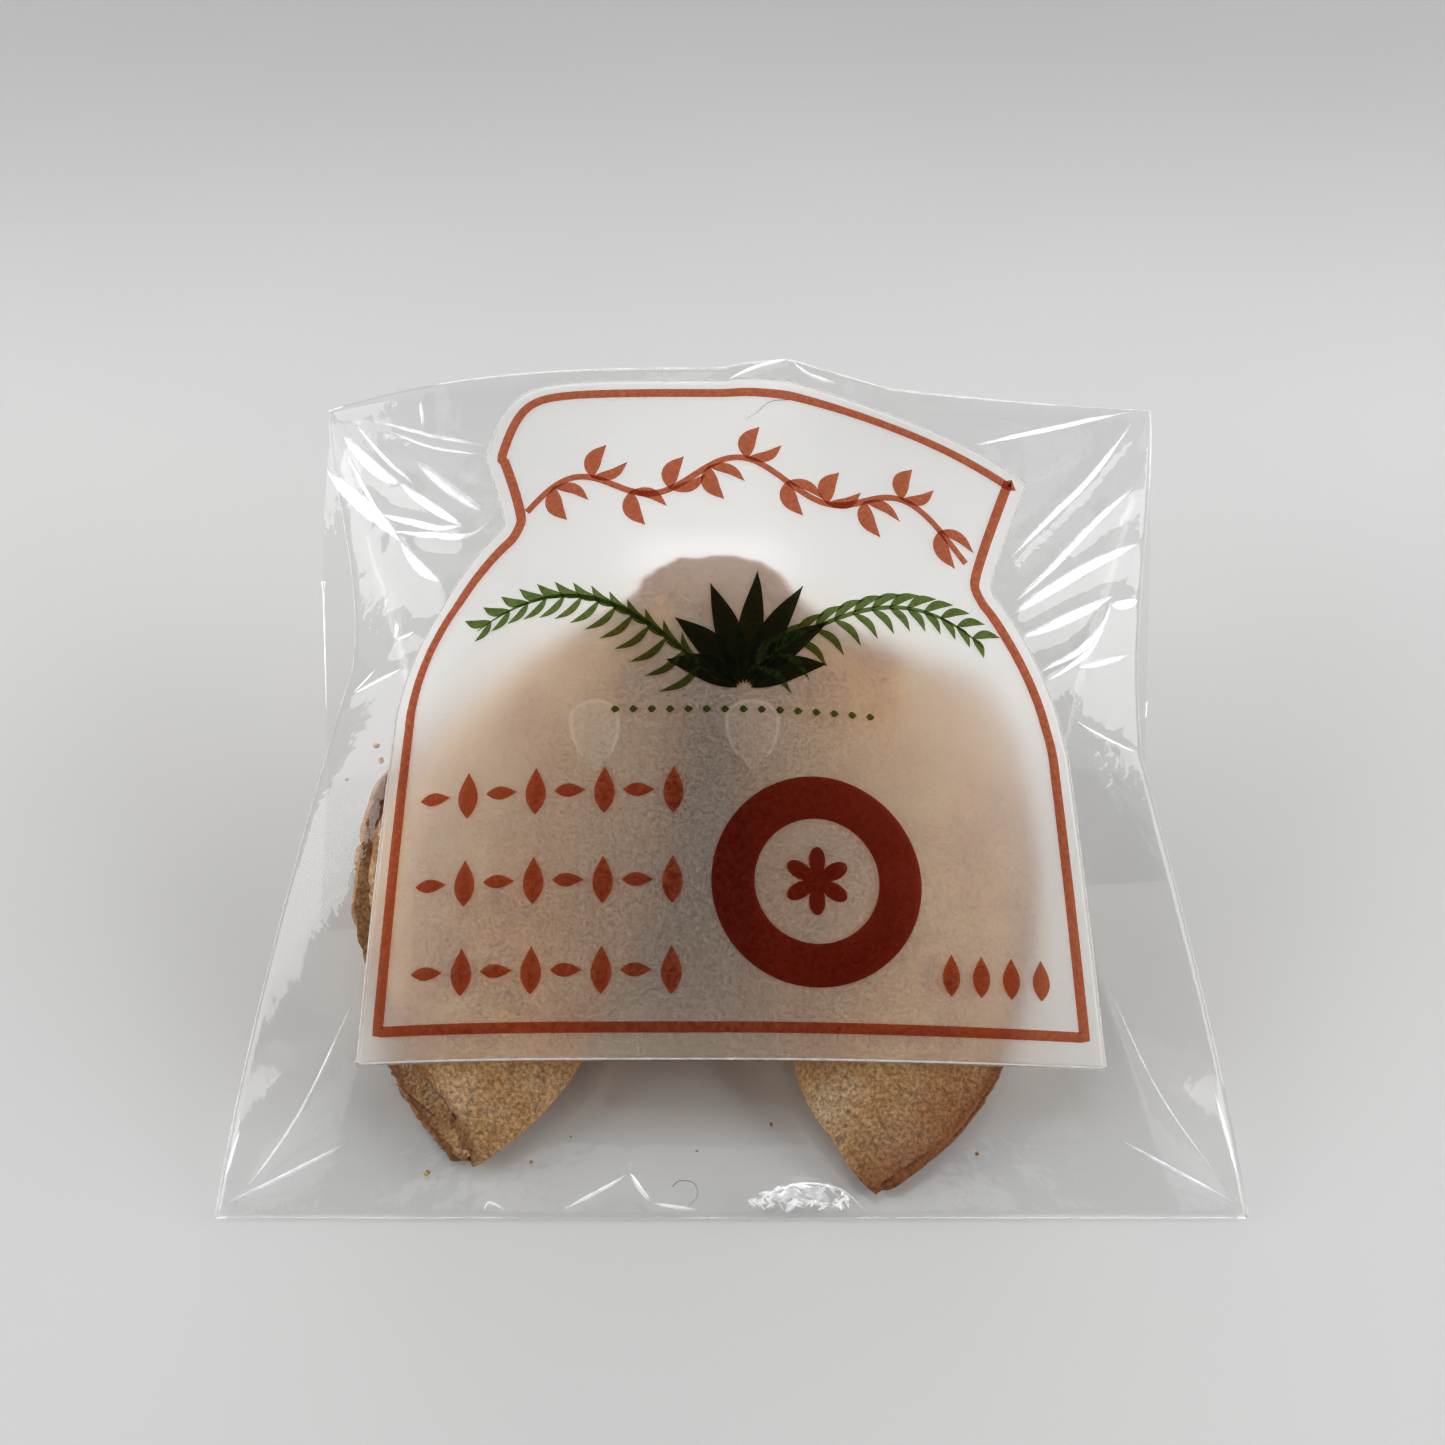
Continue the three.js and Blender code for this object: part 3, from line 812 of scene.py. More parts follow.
def markLabel(bm):
    # stores how close the label clings, how far each place is from an air mark's rim, and what lies behind
    # it: the wafer, where the sheet takes a painted warm light, or the hollow between its legs, where it
    # casts a painted brown shadow
    cling = bm.verts.layers.float.new("cling")
    airRim = bm.verts.layers.float.new("airRim")
    hollow = bm.verts.layers.float.new("hollow")
    over = bm.verts.layers.float.new("overWafer")
    marks, farAway = labelMarks, 9.0
    topX, topY = zip(*marks["waferTop"])
    for vert in bm.verts:
        x, y = vert.co.x, vert.co.y
        below = clamp((np.interp(x, topX, topY) + marks["overRise"] - y) / marks["overFade"])
        vert[over] = below * math.exp(-((x - marks["overMiddle"]) / marks["overHalf"]) ** 4)
        within = clamp((marks["hollowTop"] - y) / marks["hollowFade"])
        foot = marks["hollowFoot"]
        half = marks["hollowHalf"] * (foot + (1 - foot) * clamp(-y / marks["hollowLength"]))
        vert[hollow] = within * math.exp(-((x - marks["hollowMiddle"]) / half) ** 4)
        vert[cling] = max(math.exp(-((x - cx) / rx) ** 4 - ((y - cy) / ry) ** 4)
                          for (cx, cy), (rx, ry) in marks["clings"])
        away = farAway
        for (ax, ay), (bx, by), half in marks["air"]:
            along = clamp((ay - y) / (ay - by))
            width = half * math.sqrt(max(0.02, 1 - along ** 2))
            inside = math.hypot((x - ax - (bx - ax) * along) / width, max(0, y - ay) / 1.6)
            away = min(away, (inside - 1) * half if y > by - 0.6 else farAway)
        vert[airRim] = away


def thicken(bm, height):
    # raises a copy of the sheet and closes the sides
    grown = bmesh.ops.extrude_face_region(bm, geom=bm.faces[:])
    top = [g for g in grown["geom"] if isinstance(g, bmesh.types.BMVert)]
    bmesh.ops.translate(bm, vec=(0, 0, height), verts=top)
    bmesh.ops.recalc_face_normals(bm, faces=bm.faces)


def makeLabel(material):
    # the sheet: square rows up its sides, and rows that follow the arch above them
    columns, sideRows, archRows = labelShape["columns"], labelShape["sideRows"], labelShape["archRows"]
    rows = sideRows + archRows
    bm = bmesh.new()
    grid = bmesh.ops.create_grid(bm, x_segments=columns, y_segments=rows, size=1)["verts"]
    flat = np.zeros((len(grid), 2))
    for index, vert in enumerate(grid):
        across, row = (vert.co.x + 1) / 2, round((vert.co.y + 1) / 2 * rows)
        up = min(row / sideRows, 1) * labelShape["cornerHeight"]
        left, right = labelHalfWidth("left", up), labelHalfWidth("right", up)
        sideways = -left + (left + right) * across
        if row > sideRows:
            up += (labelTop(sideways) - up) * (row - sideRows) / archRows
        flat[index] = (sideways, up)
    lower = onFilm(flat[:, 0], flat[:, 1], np.full(len(grid), labelShape["gap"] + 0.01))
    for vert, spot in zip(grid, lower):
        vert.co = spot
    thicken(bm, labelShape["thickness"] - 0.04)
    markLabel(bm)
    return makePiece("labelSheet", bm, material, "label")


def layOnLabel(bm, lift, depth):
    # maps flat bands onto the label and gives them a thickness
    flat = np.array([v.co[:] for v in bm.verts])
    for vert, spot in zip(bm.verts, onFilm(flat[:, 0], flat[:, 1], flat[:, 2] + lift)):
        vert.co = spot
    thicken(bm, depth)


def makeCutEdge(material):
    # the label's knife-cut edge, where the frosted sheet shows white and catches the light: partly its own
    # white, partly painted highlight
    bm = bmesh.new()
    loop = labelOutline(0.1, 0.1)
    addRibbon(bm, smoothCurve(loop, 1.0), lambda share: labelShape["cutWidth"])
    layOnLabel(bm, labelShape["gap"] + labelShape["thickness"] - 0.02, 0.03)
    return makePiece("labelCutEdge", bm, material)


# The print is plain motifs in rust, red and green, laid out on the flat label.
printing = {"lift": 0.67, "depth": 0.02}     # over the film, and of the ink
border = {"width": 1.1, "inset": 1.95, "foot": 3.2}


def addLeaf(bm, foot, tip, width, bend=0.12):
    # a leaf: a band that swells and closes again
    foot, tip = np.array(foot, float), np.array(tip, float)
    ahead = tip - foot
    side = np.array([-ahead[1], ahead[0]]) * bend
    path = smoothCurve([foot, (foot + tip) / 2 + side, tip], 0.35)
    addRibbon(bm, path, lambda share: width * max(0.03, math.sin(math.pi * share ** 0.85)), columns=2)


def addStem(bm, points, width, taper=0):
    # a stem of even width, or one that is thinner towards its ends
    swell = lambda share: width * (1 - taper + taper * math.sin(math.pi * share))
    addRibbon(bm, smoothCurve(points, 0.5), swell)


def finishPrint(bm, name, material):
    layOnLabel(bm, printing["lift"], printing["depth"])
    return makePiece(name, bm, material)


def makeBorder(material):
    # the frame line, which follows the label's outline
    bm = bmesh.new()
    path = smoothCurve(labelOutline(border["inset"], border["foot"]), 0.6)
    addRibbon(bm, path, lambda share: border["width"])
    return finishPrint(bm, "borderPrint", material)


vine = {
    "start": -24, "length": 48, "height": 62.4, "sag": 0.0085, "wave": 2.1, "waves": 5.2, "width": 0.75,
    "pairs": 11, "firstPair": 0.06, "pairSpacing": 0.088,
    # each pair: how far the tip is along and aside, width and bend
    "leaves": [(1.6, 4.2, 1.9, 0.15), (3.9, 1.9, 1.3, -0.15)],
}


def vineSpot(s):
    fall = vine["sag"] * (50 * s - 22) ** 2
    y = vine["height"] - fall + vine["wave"] * math.sin(s * vine["waves"] * math.pi)
    return vine["start"] + vine["length"] * s, y


def makeVine(material):
    # a wavy stem across the top with paired leaves
    bm = bmesh.new()
    addStem(bm, [vineSpot(s) for s in np.linspace(0, 1, 40)], vine["width"])
    for index in range(vine["pairs"]):
        x, y = vineSpot(vine["firstPair"] + index * vine["pairSpacing"])
        side = 1 if index % 2 else -1
        for along, aside, width, bend in vine["leaves"]:
            addLeaf(bm, (x, y), (x + along, y + aside * side), width, bend * side)
    return finishPrint(bm, "vinePrint", material)


laurel = {
    "middle": -0.9, "start": 1.0, "reach": 26.3, "foot": 38.6, "rise": 11.5, "fall": 3.8, "width": 0.5,
    "leaves": 13, "firstLeaf": 0.07, "leafSpacing": 0.073, "leafSize": 4.6, "leafShrink": 1.4,
    "dots": 15, "dotSpacing": 1.9, "dotHeight": 35.6, "dotSize": (0.9, 0.8),
}


def laurelSpot(side, s):
    y = laurel["foot"] + laurel["rise"] * math.sin(s * 2.0) - laurel["fall"] * s * s
    return side * (laurel["start"] + laurel["reach"] * s) + laurel["middle"], y


def makeLaurel(material):
    # two leafy branches that open from the middle, over a row of dots
    bm = bmesh.new()
    for side in (-1, 1):
        addStem(bm, [laurelSpot(side, s) for s in np.linspace(0, 1, 30)], laurel["width"], 0.75)
        for index in range(laurel["leaves"]):
            s = laurel["firstLeaf"] + index * laurel["leafSpacing"]
            x, y = laurelSpot(side, s)
            size = laurel["leafSize"] - laurel["leafShrink"] * s
            lean = 0.5 + 0.9 * s
            outer = (x + side * size * math.sin(lean), y + size * math.cos(lean) * 0.95)
            inner = (x + side * size * math.cos(lean * 0.8), y - size * 0.62)
            addLeaf(bm, (x, y), outer, 0.95)
            addLeaf(bm, (x, y), inner, 0.85)
    long, wide = laurel["dotSize"]
    for index in range(laurel["dots"]):
        x = palmette["foot"][0] + (index - laurel["dots"] // 2) * laurel["dotSpacing"]
        addLeaf(bm, (x - long / 2, laurel["dotHeight"]), (x + long / 2, laurel["dotHeight"]), wide, 0)
    return finishPrint(bm, "laurelPrint", material)


palmette = {"foot": (1.0, 37.6), "leaves": 7, "turn": 0.4, "height": 13.0, "lower": 0.45, "leafWidth": 2.7}


def makePalmette(material):
    # a dark fan of leaves where the two branches meet
    bm = bmesh.new()
    x, y = palmette["foot"]
    for index in range(palmette["leaves"]):
        fromMiddle = index - palmette["leaves"] // 2
        lean = fromMiddle * palmette["turn"]
        reach = palmette["height"] - palmette["lower"] * fromMiddle ** 2
        foot = (x + 0.8 * math.sin(lean), y + 0.8 * math.cos(lean))
        tip = (x + reach * math.sin(lean), y + reach * math.cos(lean))
        addLeaf(bm, foot, tip, palmette["leafWidth"], 0.03 * fromMiddle)
    return finishPrint(bm, "palmettePrint", material)


lozenges = {
    "rows": (27.2, 18.0, 8.9), "start": -31.0, "count": 8, "spacing": 3.55,
    "upright": (2.4, 2.1), "lying": (1.6, 1.4),                     # half length and width
    "lastStart": 22.2, "lastCount": 4, "lastSpacing": 3.1, "lastHeights": (6.8, 11.1), "lastWidth": 1.8,
}


def makeLozenges(material):
    # rows of lozenges, upright and lying by turns, and a short row by the ring
    bm = bmesh.new()
    for y in lozenges["rows"]:
        for index in range(lozenges["count"]):
            x = lozenges["start"] + index * lozenges["spacing"]
            if index % 2:
                half, width = lozenges["upright"]
                addLeaf(bm, (x, y - half), (x, y + half), width, 0)
            else:
                half, width = lozenges["lying"]
                addLeaf(bm, (x - half, y), (x + half, y), width, 0)
    low, high = lozenges["lastHeights"]
    for index in range(lozenges["lastCount"]):
        x = lozenges["lastStart"] + index * lozenges["lastSpacing"]
        addLeaf(bm, (x, low), (x + 0.1, high), lozenges["lastWidth"], 0)
    return finishPrint(bm, "lozengePrint", material)


ring = {
    "centre": (8.6, 18.0), "radius": 8.6, "width": 4.4,
    "rosetteRadius": 3.5, "petals": 6, "petalFoot": 0.4,
}


def makeRing(material):
    # a broad ring with a plain rosette in it
    bm = bmesh.new()
    cx, cy = ring["centre"]
    loop = [(cx + ring["radius"] * math.cos(a), cy + ring["radius"] * math.sin(a))
            for a in np.linspace(0, 2 * math.pi, 97)]
    addRibbon(bm, loop, lambda share: ring["width"], columns=6, closed=True)
    bmesh.ops.remove_doubles(bm, verts=bm.verts, dist=0.001)
    points = bmesh.ops.create_circle(bm, cap_ends=True, cap_tris=True, segments=72, radius=1)["verts"]
    foot = ring["petalFoot"]
    for vert in points:
        angle = math.atan2(vert.co.y, vert.co.x)
        petal = foot + (1 - foot) * abs(math.sin(ring["petals"] / 2 * angle))
        reach = vert.co.length * ring["rosetteRadius"] * petal
        vert.co = (cx + reach * math.cos(angle), cy + reach * math.sin(angle), 0)
    edges = list({e for v in points for e in v.link_edges})
    bmesh.ops.subdivide_edges(bm, edges=edges, cuts=2, use_grid_fill=True)
    return finishPrint(bm, "ringPrint", material)


def clearFilm():
    # cast polypropylene film: clear, thin and glossy, each layer a little grey, brighter at a glance;
    # the slack between the seams wanders over about 4 mm
    material, tree, place = newMaterial("castPolypropyleneFilm")
    slack = addNode(tree, "TexNoise", {"Vector": place, "Scale": 260.0, "Detail": 3.0, "Roughness": 0.5})
    pulled = addNode(tree, "Bump", {"Height": slack.outputs["Fac"], "Strength": 0.25, "Distance": 0.0006})
    clear = addNode(tree, "BsdfTransparent", {"Color": srgb("#fcfcfc")})
    gloss = addNode(tree, "BsdfAnisotropic", {"Color": srgb("#ffffff"), "Roughness": 0.055,
        "Normal": pulled.outputs["Normal"]})
    facing = addNode(tree, "LayerWeight", {"Blend": 0.5, "Normal": pulled.outputs["Normal"]})
    rising = addNode(tree, "Math", {0: facing.outputs["Facing"], 1: 5.0}, operation="POWER")
    share = addNode(tree, "Math", {0: rising.outputs[0], 1: 0.42, 2: 0.035}, operation="MULTIPLY_ADD")
    mixed = addNode(tree, "MixShader", {0: share.outputs[0], 1: clear.outputs[0], 2: gloss.outputs[0]})
    addNode(tree, "OutputMaterial", {"Surface": mixed.outputs[0]})
    return material


def creasedFilm():
    # film where it is folded sharply: painted glints, a white coat with added gloss in streaks that break
    # off every 3 mm
    material, tree, place = newMaterial("creasedPolypropylenePaintedGlints")
    shine = addNode(tree, "Attribute", attribute_name="shine").outputs["Fac"]
    streaks = addNode(tree, "TexNoise", {"Vector": place, "Scale": 300.0, "Detail": 3.0, "Roughness": 0.6})
    broken = addNode(tree, "MapRange", {"Value": streaks.outputs["Fac"], "From Min": 0.34, "From Max": 0.52,
        "To Min": 0.7, "To Max": 1.3})
    crumpled = addNode(tree, "Bump", {"Height": streaks.outputs["Fac"], "Strength": 0.6,
        "Distance": 0.0008})
    share = addNode(tree, "Math", {0: shine, 1: broken.outputs[0]}, operation="MULTIPLY", use_clamp=True)
    clear = addNode(tree, "BsdfTransparent", {"Color": srgb("#fafafa")})
    paintedGlintWhite = addNode(tree, "BsdfDiffuse", {"Color": srgb("#fdfdfd")})
    gloss = addNode(tree, "BsdfAnisotropic", {"Color": srgb("#d0d0d0"), "Roughness": 0.34,
        "Normal": crumpled.outputs["Normal"]})
    white = addNode(tree, "AddShader", {0: paintedGlintWhite.outputs[0], 1: gloss.outputs[0]})
    mixed = addNode(tree, "MixShader", {0: share.outputs[0], 1: clear.outputs[0], 2: white.outputs[0]})
    addNode(tree, "OutputMaterial", {"Surface": mixed.outputs[0]})
    return material


def bakedWafer():
    # baked batter of flour, sugar and egg: matt, fine-grained, pale inside and brown at its edges
    material, tree, place = newMaterial("bakedBatterWafer")
    rim = addNode(tree, "Attribute", attribute_name="rimDistance").outputs["Fac"]
    # grain about 0.35 mm across, and toasted patches of 6 mm
    grain = addNode(tree, "TexNoise", {"Vector": place, "Scale": 2600.0, "Detail": 3.0, "Roughness": 0.65})
    patches = addNode(tree, "TexNoise", {"Vector": place, "Scale": 170.0, "Detail": 4.0, "Roughness": 0.6})
    toasted = addNode(tree, "ValToRGB", {"Fac": patches.outputs["Fac"]})
    setRamp(toasted, [(0.30, "#b8834f"), (0.50, "#d3a670"), (0.70, "#dfc096")])
    wander = addNode(tree, "Math", {0: patches.outputs["Fac"], 1: 3.2, 2: -1.6}, operation="MULTIPLY_ADD")
    reach = addNode(tree, "Math", {0: rim, 1: wander.outputs[0]}, operation="ADD")
    scaled = addNode(tree, "Math", {0: reach.outputs[0], 1: 0.1}, operation="MULTIPLY")
    browned = addNode(tree, "ValToRGB", {"Fac": scaled.outputs[0]})
    setRamp(browned, [(0.0, "#9a6a3c"), (0.05, "#8a4f22"), (0.22, "#99602f"), (0.5, "#d8b58c")])
    atRim = addNode(tree, "MapRange", {"Value": reach.outputs[0], "From Min": 0.6, "From Max": 4.2,
        "To Min": 0.85, "To Max": 0.0})
    body = addNode(tree, "Mix", {"Factor": atRim.outputs[0], "A": toasted.outputs["Color"],
        "B": browned.outputs["Color"]}, data_type="RGBA")
    specks = addNode(tree, "MapRange", {"Value": grain.outputs["Fac"], "From Min": 0.35, "From Max": 0.66,
        "To Min": 0.5, "To Max": 1.5})
    # pits of about 0.8 mm, and the right tip baked darker and redder
    pits = addNode(tree, "TexNoise", {"Vector": place, "Scale": 1150.0, "Detail": 2.0, "Roughness": 0.7})
    sunk = addNode(tree, "MapRange", {"Value": pits.outputs["Fac"], "From Min": 0.56, "From Max": 0.66,
        "To Min": 0.0, "To Max": 0.5})
    pitted = addNode(tree, "Mix", {"Factor": sunk.outputs[0], "A": body.outputs["Result"],
        "B": srgb("#7c4a24")}, data_type="RGBA")
    toast = addNode(tree, "Attribute", attribute_name="toast").outputs["Fac"]
    atTip = addNode(tree, "MapRange", {"Value": toast, "From Min": 0.82, "From Max": 0.97, "To Min": 0.0,
        "To Max": 0.9})
    baked = addNode(tree, "Mix", {"Factor": atTip.outputs[0], "A": pitted.outputs["Result"],
        "B": srgb("#985728")}, data_type="RGBA")
    colour = addNode(tree, "Mix", {"Factor": 1.0, "A": baked.outputs["Result"], "B": specks.outputs[0]},
        data_type="RGBA", blend_type="MULTIPLY")
    # the sharp fold in the middle, where it was pressed over an edge, is darkened with painted shade,
    # darkest at the crease
    fold = addNode(tree, "Attribute", attribute_name="fold").outputs["Fac"]
    folded = addNode(tree, "Mix", {"Factor": fold, "A": colour.outputs["Result"], "B": srgb("#4a2f1c")},
        data_type="RGBA")
    bump = addNode(tree, "Bump", {"Height": grain.outputs["Fac"], "Strength": 1.0, "Distance": 0.0003})
    shader = addNode(tree, "BsdfPrincipled", {"Base Color": folded.outputs["Result"], "Roughness": 0.68,
        "Specular IOR Level": 0.35, "Normal": bump.outputs["Normal"]})
    glow = addNode(tree, "BsdfTranslucent", {"Color": srgb("#dd9a55")})
    mixed = addNode(tree, "MixShader", {0: 0.20, 1: shader.outputs[0], 2: glow.outputs[0]})
    addNode(tree, "OutputMaterial", {"Surface": mixed.outputs[0]})
    return material


def frostedSheet():
    # frosted polyester label stock: milky and satin, it blurs what lies behind it; its grain and
    # dust are drawn 0.4 and 0.3 mm coarse, because the real frosting is too fine to show
    material, tree, place = newMaterial("frostedPolyesterSheet")
    grain = addNode(tree, "TexNoise", {"Vector": place, "Scale": 2400.0, "Detail": 2.0, "Roughness": 0.6})
    bump = addNode(tree, "Bump", {"Height": grain.outputs["Fac"], "Strength": 0.25, "Distance": 0.00008})
    cling = addNode(tree, "Attribute", attribute_name="cling").outputs["Fac"]
    airRim = addNode(tree, "Attribute", attribute_name="airRim").outputs["Fac"]
    blur = addNode(tree, "MapRange", {"Value": cling, "To Min": 0.8, "To Max": 0.45})
    # a rough surface loses light between its facets; the raised colour gives it back. Where the sheet
    # presses on the wafer, the light through it and its milk are made warmer: painted warm light from the
    # wafer behind
    over = addNode(tree, "Attribute", attribute_name="overWafer").outputs["Fac"]
    gain = addNode(tree, "Mix", {"Factor": over, "A": (1.20, 1.205, 1.21, 1), "B": (1.25, 1.22, 1.175, 1)},
        data_type="RGBA")
    milkTone = addNode(tree, "Mix", {"Factor": over, "A": srgb("#f4f2f1"), "B": srgb("#f1e9df")},
        data_type="RGBA")
    through = addNode(tree, "BsdfRefraction", {"Color": gain.outputs["Result"],
        "Roughness": blur.outputs[0], "IOR": 1.35, "Normal": bump.outputs["Normal"]})
    milky = addNode(tree, "BsdfDiffuse", {"Color": milkTone.outputs["Result"],
        "Normal": bump.outputs["Normal"]})
    satin = addNode(tree, "BsdfAnisotropic", {"Color": srgb("#ffffff"), "Roughness": 0.35,
        "Normal": bump.outputs["Normal"]})
    clumps = addNode(tree, "TexVoronoi", {"Vector": place, "Scale": 3000.0})
    dust = addNode(tree, "MapRange", {"Value": clumps.outputs["Distance"], "From Min": 0.12,
        "From Max": 0.42, "To Min": 0.09, "To Max": 0.0})
    frost = addNode(tree, "MapRange", {"Value": grain.outputs["Fac"], "From Min": 0.40, "From Max": 0.62,
        "To Min": 0.06, "To Max": 0.15})
    # trapped air: a smooth pale tongue with a fine bright rim
    rimAway = addNode(tree, "Math", {0: airRim}, operation="ABSOLUTE")
    rimLine = addNode(tree, "MapRange", {"Value": rimAway.outputs[0], "From Min": 0.0, "From Max": 0.28,
        "To Min": 0.16, "To Max": 0.0})
    pocket = addNode(tree, "MapRange", {"Value": airRim, "From Min": 0.1, "From Max": -0.2, "To Min": 0.0,
        "To Max": 0.06})
    marks = addNode(tree, "Math", {0: rimLine.outputs[0], 1: pocket.outputs[0]}, operation="ADD")
    grainy = addNode(tree, "Math", {0: frost.outputs[0], 1: dust.outputs[0]}, operation="ADD")
    milk = addNode(tree, "Math", {0: grainy.outputs[0], 1: marks.outputs[0]}, operation="ADD")
    haze = addNode(tree, "MixShader", {0: milk.outputs[0], 1: through.outputs[0], 2: milky.outputs[0]})
    face = addNode(tree, "MixShader", {0: 0.035, 1: haze.outputs[0], 2: satin.outputs[0]})
    rays = addNode(tree, "LightPath")
    lightRay = addNode(tree, "Math", {0: rays.outputs["Is Shadow Ray"], 1: rays.outputs["Is Diffuse Ray"]},
        operation="MAXIMUM")
    # painted shade: light that passes the sheet over the room between the wafer's legs is tinted dark
    # brown, to paint the brown shadow there
    hollow = addNode(tree, "Attribute", attribute_name="hollow").outputs["Fac"]
    throughTintAndPaintedShade = addNode(tree, "Mix", {"Factor": hollow, "A": srgb("#e2d8c4"), "B": srgb("#a67e55")},
        data_type="RGBA")
    lit = addNode(tree, "BsdfTransparent", {"Color": throughTintAndPaintedShade.outputs["Result"]})
    mixed = addNode(tree, "MixShader", {0: lightRay.outputs[0], 1: face.outputs[0], 2: lit.outputs[0]})
    addNode(tree, "OutputMaterial", {"Surface": mixed.outputs[0]})
    return material


def cutEdge():
    # the sheet's cut edge: the frosting ends in a clean white line, nicked every millimetre; its brightness
    # is partly the cut's own white and partly painted highlight
    material, tree, place = newMaterial("cutPolyesterEdge")
    nicks = addNode(tree, "TexNoise", {"Vector": place, "Scale": 900.0, "Detail": 2.0})
    shade = addNode(tree, "MapRange", {"Value": nicks.outputs["Fac"], "From Min": 0.3, "From Max": 0.7,
        "To Min": 0.35, "To Max": 0.75})
    white = addNode(tree, "BsdfDiffuse", {"Color": srgb("#f6f5f3")})
    clear = addNode(tree, "BsdfTransparent", {"Color": srgb("#ffffff")})
    mixed = addNode(tree, "MixShader", {0: shade.outputs[0], 1: clear.outputs[0], 2: white.outputs[0]})
    addNode(tree, "OutputMaterial", {"Surface": mixed.outputs[0]})
    return material


def screenInk(name, body, through, cover):
    # screen-printed ink: a thin coat that lets some of the light behind it through, mottled by the
    # mesh, which is drawn 0.5 mm coarse to show
    material, tree, place = newMaterial(name)
    mottle = addNode(tree, "TexNoise", {"Vector": place, "Scale": 1800.0, "Detail": 2.0})
    thin = addNode(tree, "MapRange", {"Value": mottle.outputs["Fac"], "From Min": 0.3, "From Max": 0.7,
        "To Min": cover - 0.1, "To Max": cover + 0.1})
    coat = addNode(tree, "BsdfDiffuse", {"Color": srgb(body)})
    tint = addNode(tree, "BsdfTransparent", {"Color": srgb(through)})
    mixed = addNode(tree, "MixShader", {0: thin.outputs[0], 1: tint.outputs[0], 2: coat.outputs[0]})
    addNode(tree, "OutputMaterial", {"Surface": mixed.outputs[0]})
    return material


def lintFibre():
    # cotton fibre, fine and grey, its tone uneven along it
    material, tree, place = newMaterial("cottonFibre")
    uneven = addNode(tree, "TexNoise", {"Vector": place, "Scale": 700.0})
    tone = addNode(tree, "ValToRGB", {"Fac": uneven.outputs["Fac"]})
    setRamp(tone, [(0.3, "#4c4844"), (0.7, "#7b7671")])
    shader = addNode(tree, "BsdfPrincipled", {"Base Color": tone.outputs["Color"], "Roughness": 0.8})
    addNode(tree, "OutputMaterial", {"Surface": shader.outputs[0]})
    return material


def tableCover():
    # bonded nonwoven sheet, white and matt, a little cloudy, with painted shade that darkens it towards the
    # back
    material, tree, place = newMaterial("nonwovenCover")
    cloudy = addNode(tree, "TexNoise", {"Vector": place, "Scale": 9.0, "Detail": 2.0})
    tone = addNode(tree, "ValToRGB", {"Fac": cloudy.outputs["Fac"]})
    setRamp(tone, [(0.3, "#dadbda"), (0.7, "#dfdfde")])
    apart = addNode(tree, "SeparateXYZ", {"Vector": place})
    # painted shade: the colour falls to 0.68 towards the back
    away = addNode(tree, "MapRange", {"Value": apart.outputs["Y"], "From Min": 0.06, "From Max": 0.24,
        "To Min": 1.0, "To Max": 0.68}, interpolation_type="SMOOTHSTEP")
    paintedShadeTone = addNode(tree, "Mix", {"Factor": 1.0, "A": tone.outputs["Color"], "B": away.outputs[0]},
        data_type="RGBA", blend_type="MULTIPLY")
    shader = addNode(tree, "BsdfPrincipled", {"Base Color": paintedShadeTone.outputs["Result"], "Roughness": 0.85,
        "Specular IOR Level": 0.2})
    addNode(tree, "OutputMaterial", {"Surface": shader.outputs[0]})
    return material


# The stage and the camera are in metres.
stage = {
    "floorSize": 3.0, "floorDrop": 0.0002,
    "worldColour": "#f1f2f4", "worldStrength": 0.15,
    "target": (0, 0, 0.01),
    "panels": {   # place, diameter and power
        "ceiling": ((0.0, 0.12, 0.60), 0.36, 0.5),
        "left": ((-0.70, 0.33, 0.30), 0.8, 1.6),
        "right": ((0.70, 0.33, 0.30), 0.8, 1.6),
        "lowLeft": ((-0.75, -0.05, 0.22), 0.7, 5.0),
        "lowRight": ((0.75, -0.05, 0.22), 0.7, 5.6),
        "back": ((0.0, 1.9, 0.42), 1.4, 21.0),
    },
}


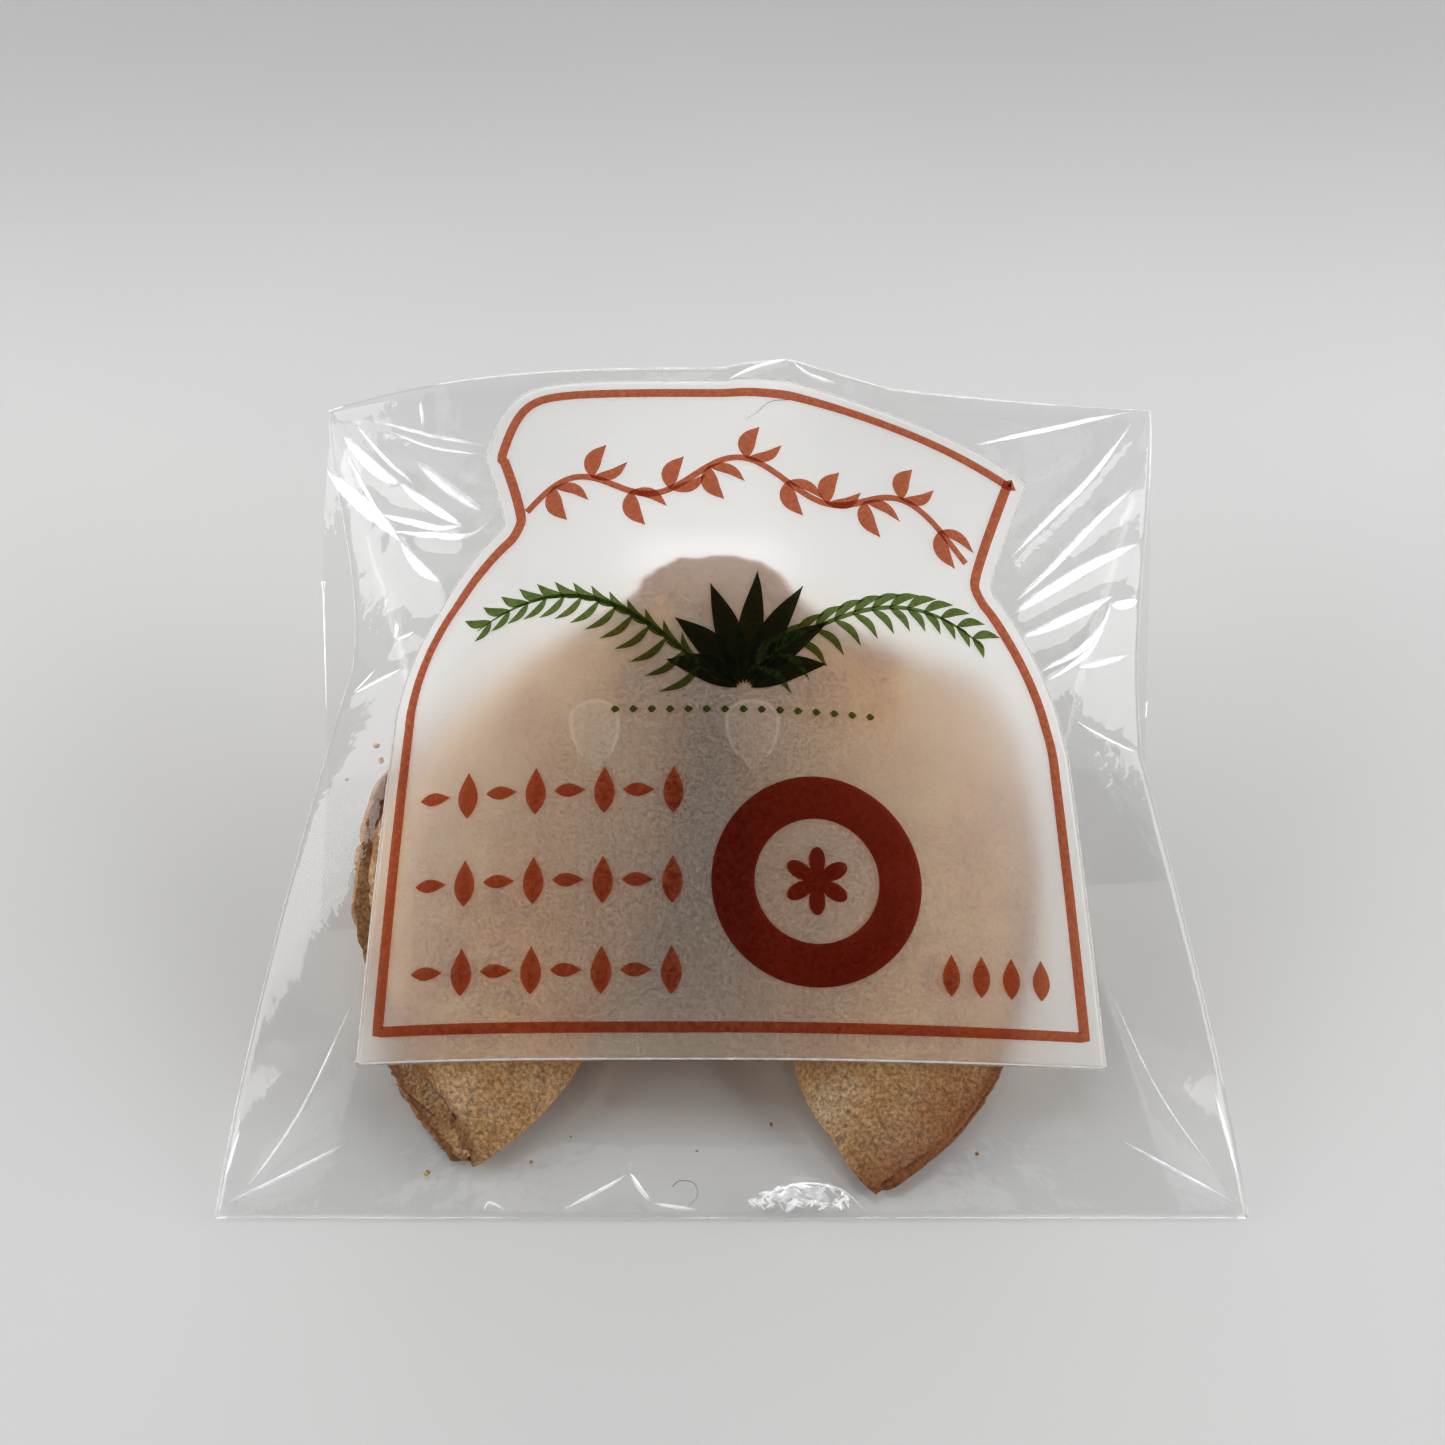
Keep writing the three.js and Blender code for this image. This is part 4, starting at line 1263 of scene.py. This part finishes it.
def makeStage():
    bm = bmesh.new()
    bmesh.ops.create_grid(bm, x_segments=1, y_segments=1, size=stage["floorSize"] / 2)
    bmesh.ops.translate(bm, vec=(0, 0, -stage["floorDrop"]), verts=bm.verts)
    mesh = bpy.data.meshes.new("tableCover")
    bm.to_mesh(mesh)
    bm.free()
    floor = bpy.data.objects.new("tableCover", mesh)
    bpy.context.scene.collection.objects.link(floor)
    floor.data.materials.append(tableCover())

    world = bpy.data.worlds.new("paleRoom")
    bpy.context.scene.world = world
    world.use_nodes = True
    sky = world.node_tree.nodes["Background"]
    sky.inputs["Color"].default_value = srgb(stage["worldColour"])
    sky.inputs["Strength"].default_value = stage["worldStrength"]

    for name, (place, size, power) in stage["panels"].items():
        lamp = bpy.data.lights.new(name + "Panel", "AREA")
        lamp.shape = "DISK"
        lamp.size = size
        lamp.energy = power
        holder = bpy.data.objects.new(name + "Panel", lamp)
        holder.location = place
        bpy.context.scene.collection.objects.link(holder)
        ray = Vector(stage["target"]) - holder.location
        holder.rotation_euler = ray.to_track_quat("-Z", "Y").to_euler()


view = {"lens": 41.107, "sensor": 36, "nearest": 0.005, "place": (-0.0009, -0.115, 0.1544), "tilt": 41.73}


def makeCamera():
    lens = bpy.data.cameras.new("frontCamera")
    lens.lens = view["lens"]
    lens.sensor_width = view["sensor"]
    lens.clip_start = view["nearest"]
    camera = bpy.data.objects.new("frontCamera", lens)
    camera.location = view["place"]
    camera.rotation_euler = (math.radians(view["tilt"]), 0, 0)
    bpy.context.scene.collection.objects.link(camera)
    bpy.context.scene.camera = camera
    bpy.context.scene.view_settings.view_transform = "Standard"


makeCamera()
makeStage()
print("stage and camera ready")

filmMaterial, paintedGlintMaterial, waferMaterial = clearFilm(), creasedFilm(), bakedWafer()
makeFilm(filmMaterial)
makeFlap(filmMaterial)
makeFlapEdges(paintedGlintMaterial)
makeCreases(paintedGlintMaterial)
makeSeamBeads(paintedGlintMaterial)
print("film bag ready")

makeWafer(waferMaterial)
makeCrumbs(waferMaterial)
makeLint(lintFibre())
print("wafer and crumbs ready")

makeLabel(frostedSheet())
makeCutEdge(cutEdge())
rust = screenInk("rustScreenInk", "#bd6c50", "#e4b198", 0.12)
red = screenInk("redScreenInk", "#893026", "#d29a8c", 0.14)
green = screenInk("greenScreenInk", "#4f5c30", "#b2c08f", 0.14)
darkGreen = screenInk("darkGreenScreenInk", "#23271a", "#8e907c", 0.25)
makeBorder(rust)
makeVine(rust)
makeLozenges(rust)
makeRing(red)
makeLaurel(green)
makePalmette(darkGreen)
print("label and print ready")
